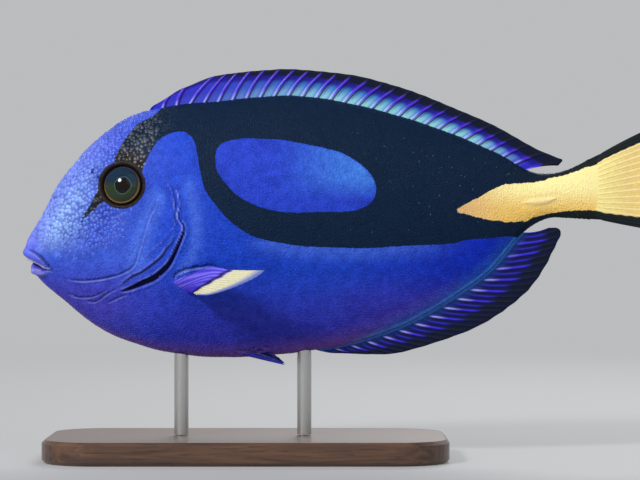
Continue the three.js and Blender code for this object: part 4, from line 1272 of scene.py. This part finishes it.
def woodMaterial(s=standLook):
    # noise drawn out along the base's length for grain, finer noise for the pores
    m = Shader("stand-wood")
    stretched = m.node("ShaderNodeMapping", {}, {"Vector": m.place, "Scale": (0.06, 1, 1)})
    values = {"Vector": stretched, "Scale": 260, "Detail": 5, "Roughness": 0.6, "Distortion": 1.2}
    grain = m.node("ShaderNodeTexNoise", {}, values)
    pores = m.node("ShaderNodeTexNoise", {}, {"Vector": stretched, "Scale": 1500, "Detail": 2})
    colour = m.blend(grain.step(0.3, 0.7), s["wood"], s["woodPale"])
    colour = m.blend(pores.step(0.58, 0.7) * 0.6, colour, s["pore"])
    return m.finish(Base_Color=colour, Roughness=grain * 0.2 + 0.32,
                    Normal=m.bump(pores, 0.0001, 0.4), Coat_Weight=0.3, Coat_Roughness=0.15)


def steelMaterial(s=standLook):
    # brushed up and down: noise drawn out along z
    m = Shader("stand-steel")
    stretched = m.node("ShaderNodeMapping", {}, {"Vector": m.place, "Scale": (1, 1, 0.03)})
    lines = m.node("ShaderNodeTexNoise", {}, {"Vector": stretched, "Scale": 4000, "Detail": 2})
    return m.finish(Base_Color=s["steel"], Metallic=1.0, Roughness=lines * 0.2 + 0.22,
                    Normal=m.bump(lines, 0.00003, 0.5))


def finishStand():
    # rods are steel, the rest of the stand is wood
    wood, steel = woodMaterial(), steelMaterial()
    for name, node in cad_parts.items():
        if name.startswith("stand_"):
            node.data.materials.clear()
            node.data.materials.append(steel if "rod" in name else wood)


print("stand")
finishStand()

# Floor and light; lamps in metres and watts, all turned to the aim
studio = dict(floor=(0.4, 0.404, 0.41), radius=8.0, sky=(0.5, 0.505, 0.515), aim=(-0.02, 0, 0.08))
lamps = dict(
    key=dict(place=(-0.62, -0.8, 0.66), size=0.22, watts=10.5),
    fill=dict(place=(0.5, -1.1, 0.9), size=1.6, watts=3.5),
    back=dict(place=(0.2, 0.8, 0.7), size=0.6, watts=6),
)


def addFloor(s):
    # a flat disc of rings whose colour runs into the even background far away
    around = 96
    radii = s["radius"] * np.linspace(0.02, 1, 30) ** 2
    a = np.linspace(0, 2 * np.pi, around, endpoint=False)
    ring = np.stack([np.cos(a), np.sin(a), np.zeros(around)], -1)
    vertices = np.vstack([(radii[:, None, None] * ring).reshape(-1, 3), np.zeros((1, 3))])
    faces = gridFaces(len(radii), around, True)[:, ::-1]
    j = np.arange(around)
    cap = np.column_stack([np.full(around, len(vertices) - 1), j, (j + 1) % around])
    mesh = bpy.data.meshes.new("floor")
    mesh.from_pydata(vertices.tolist(), [], faces.tolist() + cap.tolist())
    mesh.update()
    floor = bpy.data.objects.new("floor", mesh)
    bpy.context.collection.objects.link(floor)
    m = Shader("studio-floor")
    mesh.materials.append(m.finish(Base_Color=s["floor"], Roughness=0.7))
    far = m.node("ShaderNodeVectorMath", dict(operation="LENGTH"), {0: m.place}, 1)
    share = far.step(0.2, 1.05) * 0.7 + 0.3
    glow = m.node("ShaderNodeEmission", {}, {0: s["sky"]})
    ground = Value(m, m.bsdf.outputs[0])
    m.put(m.out.inputs[0], m.node("ShaderNodeMixShader", {}, {0: share, 1: ground, 2: glow}))


def addLamps(lamps, s):
    # round lamps, and an even sky that is shown as it is
    for name, lamp in lamps.items():
        data = bpy.data.lights.new(name, "AREA")
        data.shape, data.size, data.energy = "DISK", lamp["size"], lamp["watts"]
        light = bpy.data.objects.new(name, data)
        light.location = lamp["place"]
        aim = Vector(s["aim"]) - light.location
        light.rotation_euler = aim.to_track_quat("-Z", "Y").to_euler()
        bpy.context.collection.objects.link(light)
    world = bpy.data.worlds.new("studio")
    world.use_nodes = True
    sky = world.node_tree.nodes["Background"]
    sky.inputs[0].default_value = (*s["sky"], 1)
    sky.inputs[1].default_value = 1.0
    bpy.context.scene.world = world
    bpy.context.scene.view_settings.view_transform = "Standard"


print("studio")
addFloor(studio)
addLamps(lamps, studio)
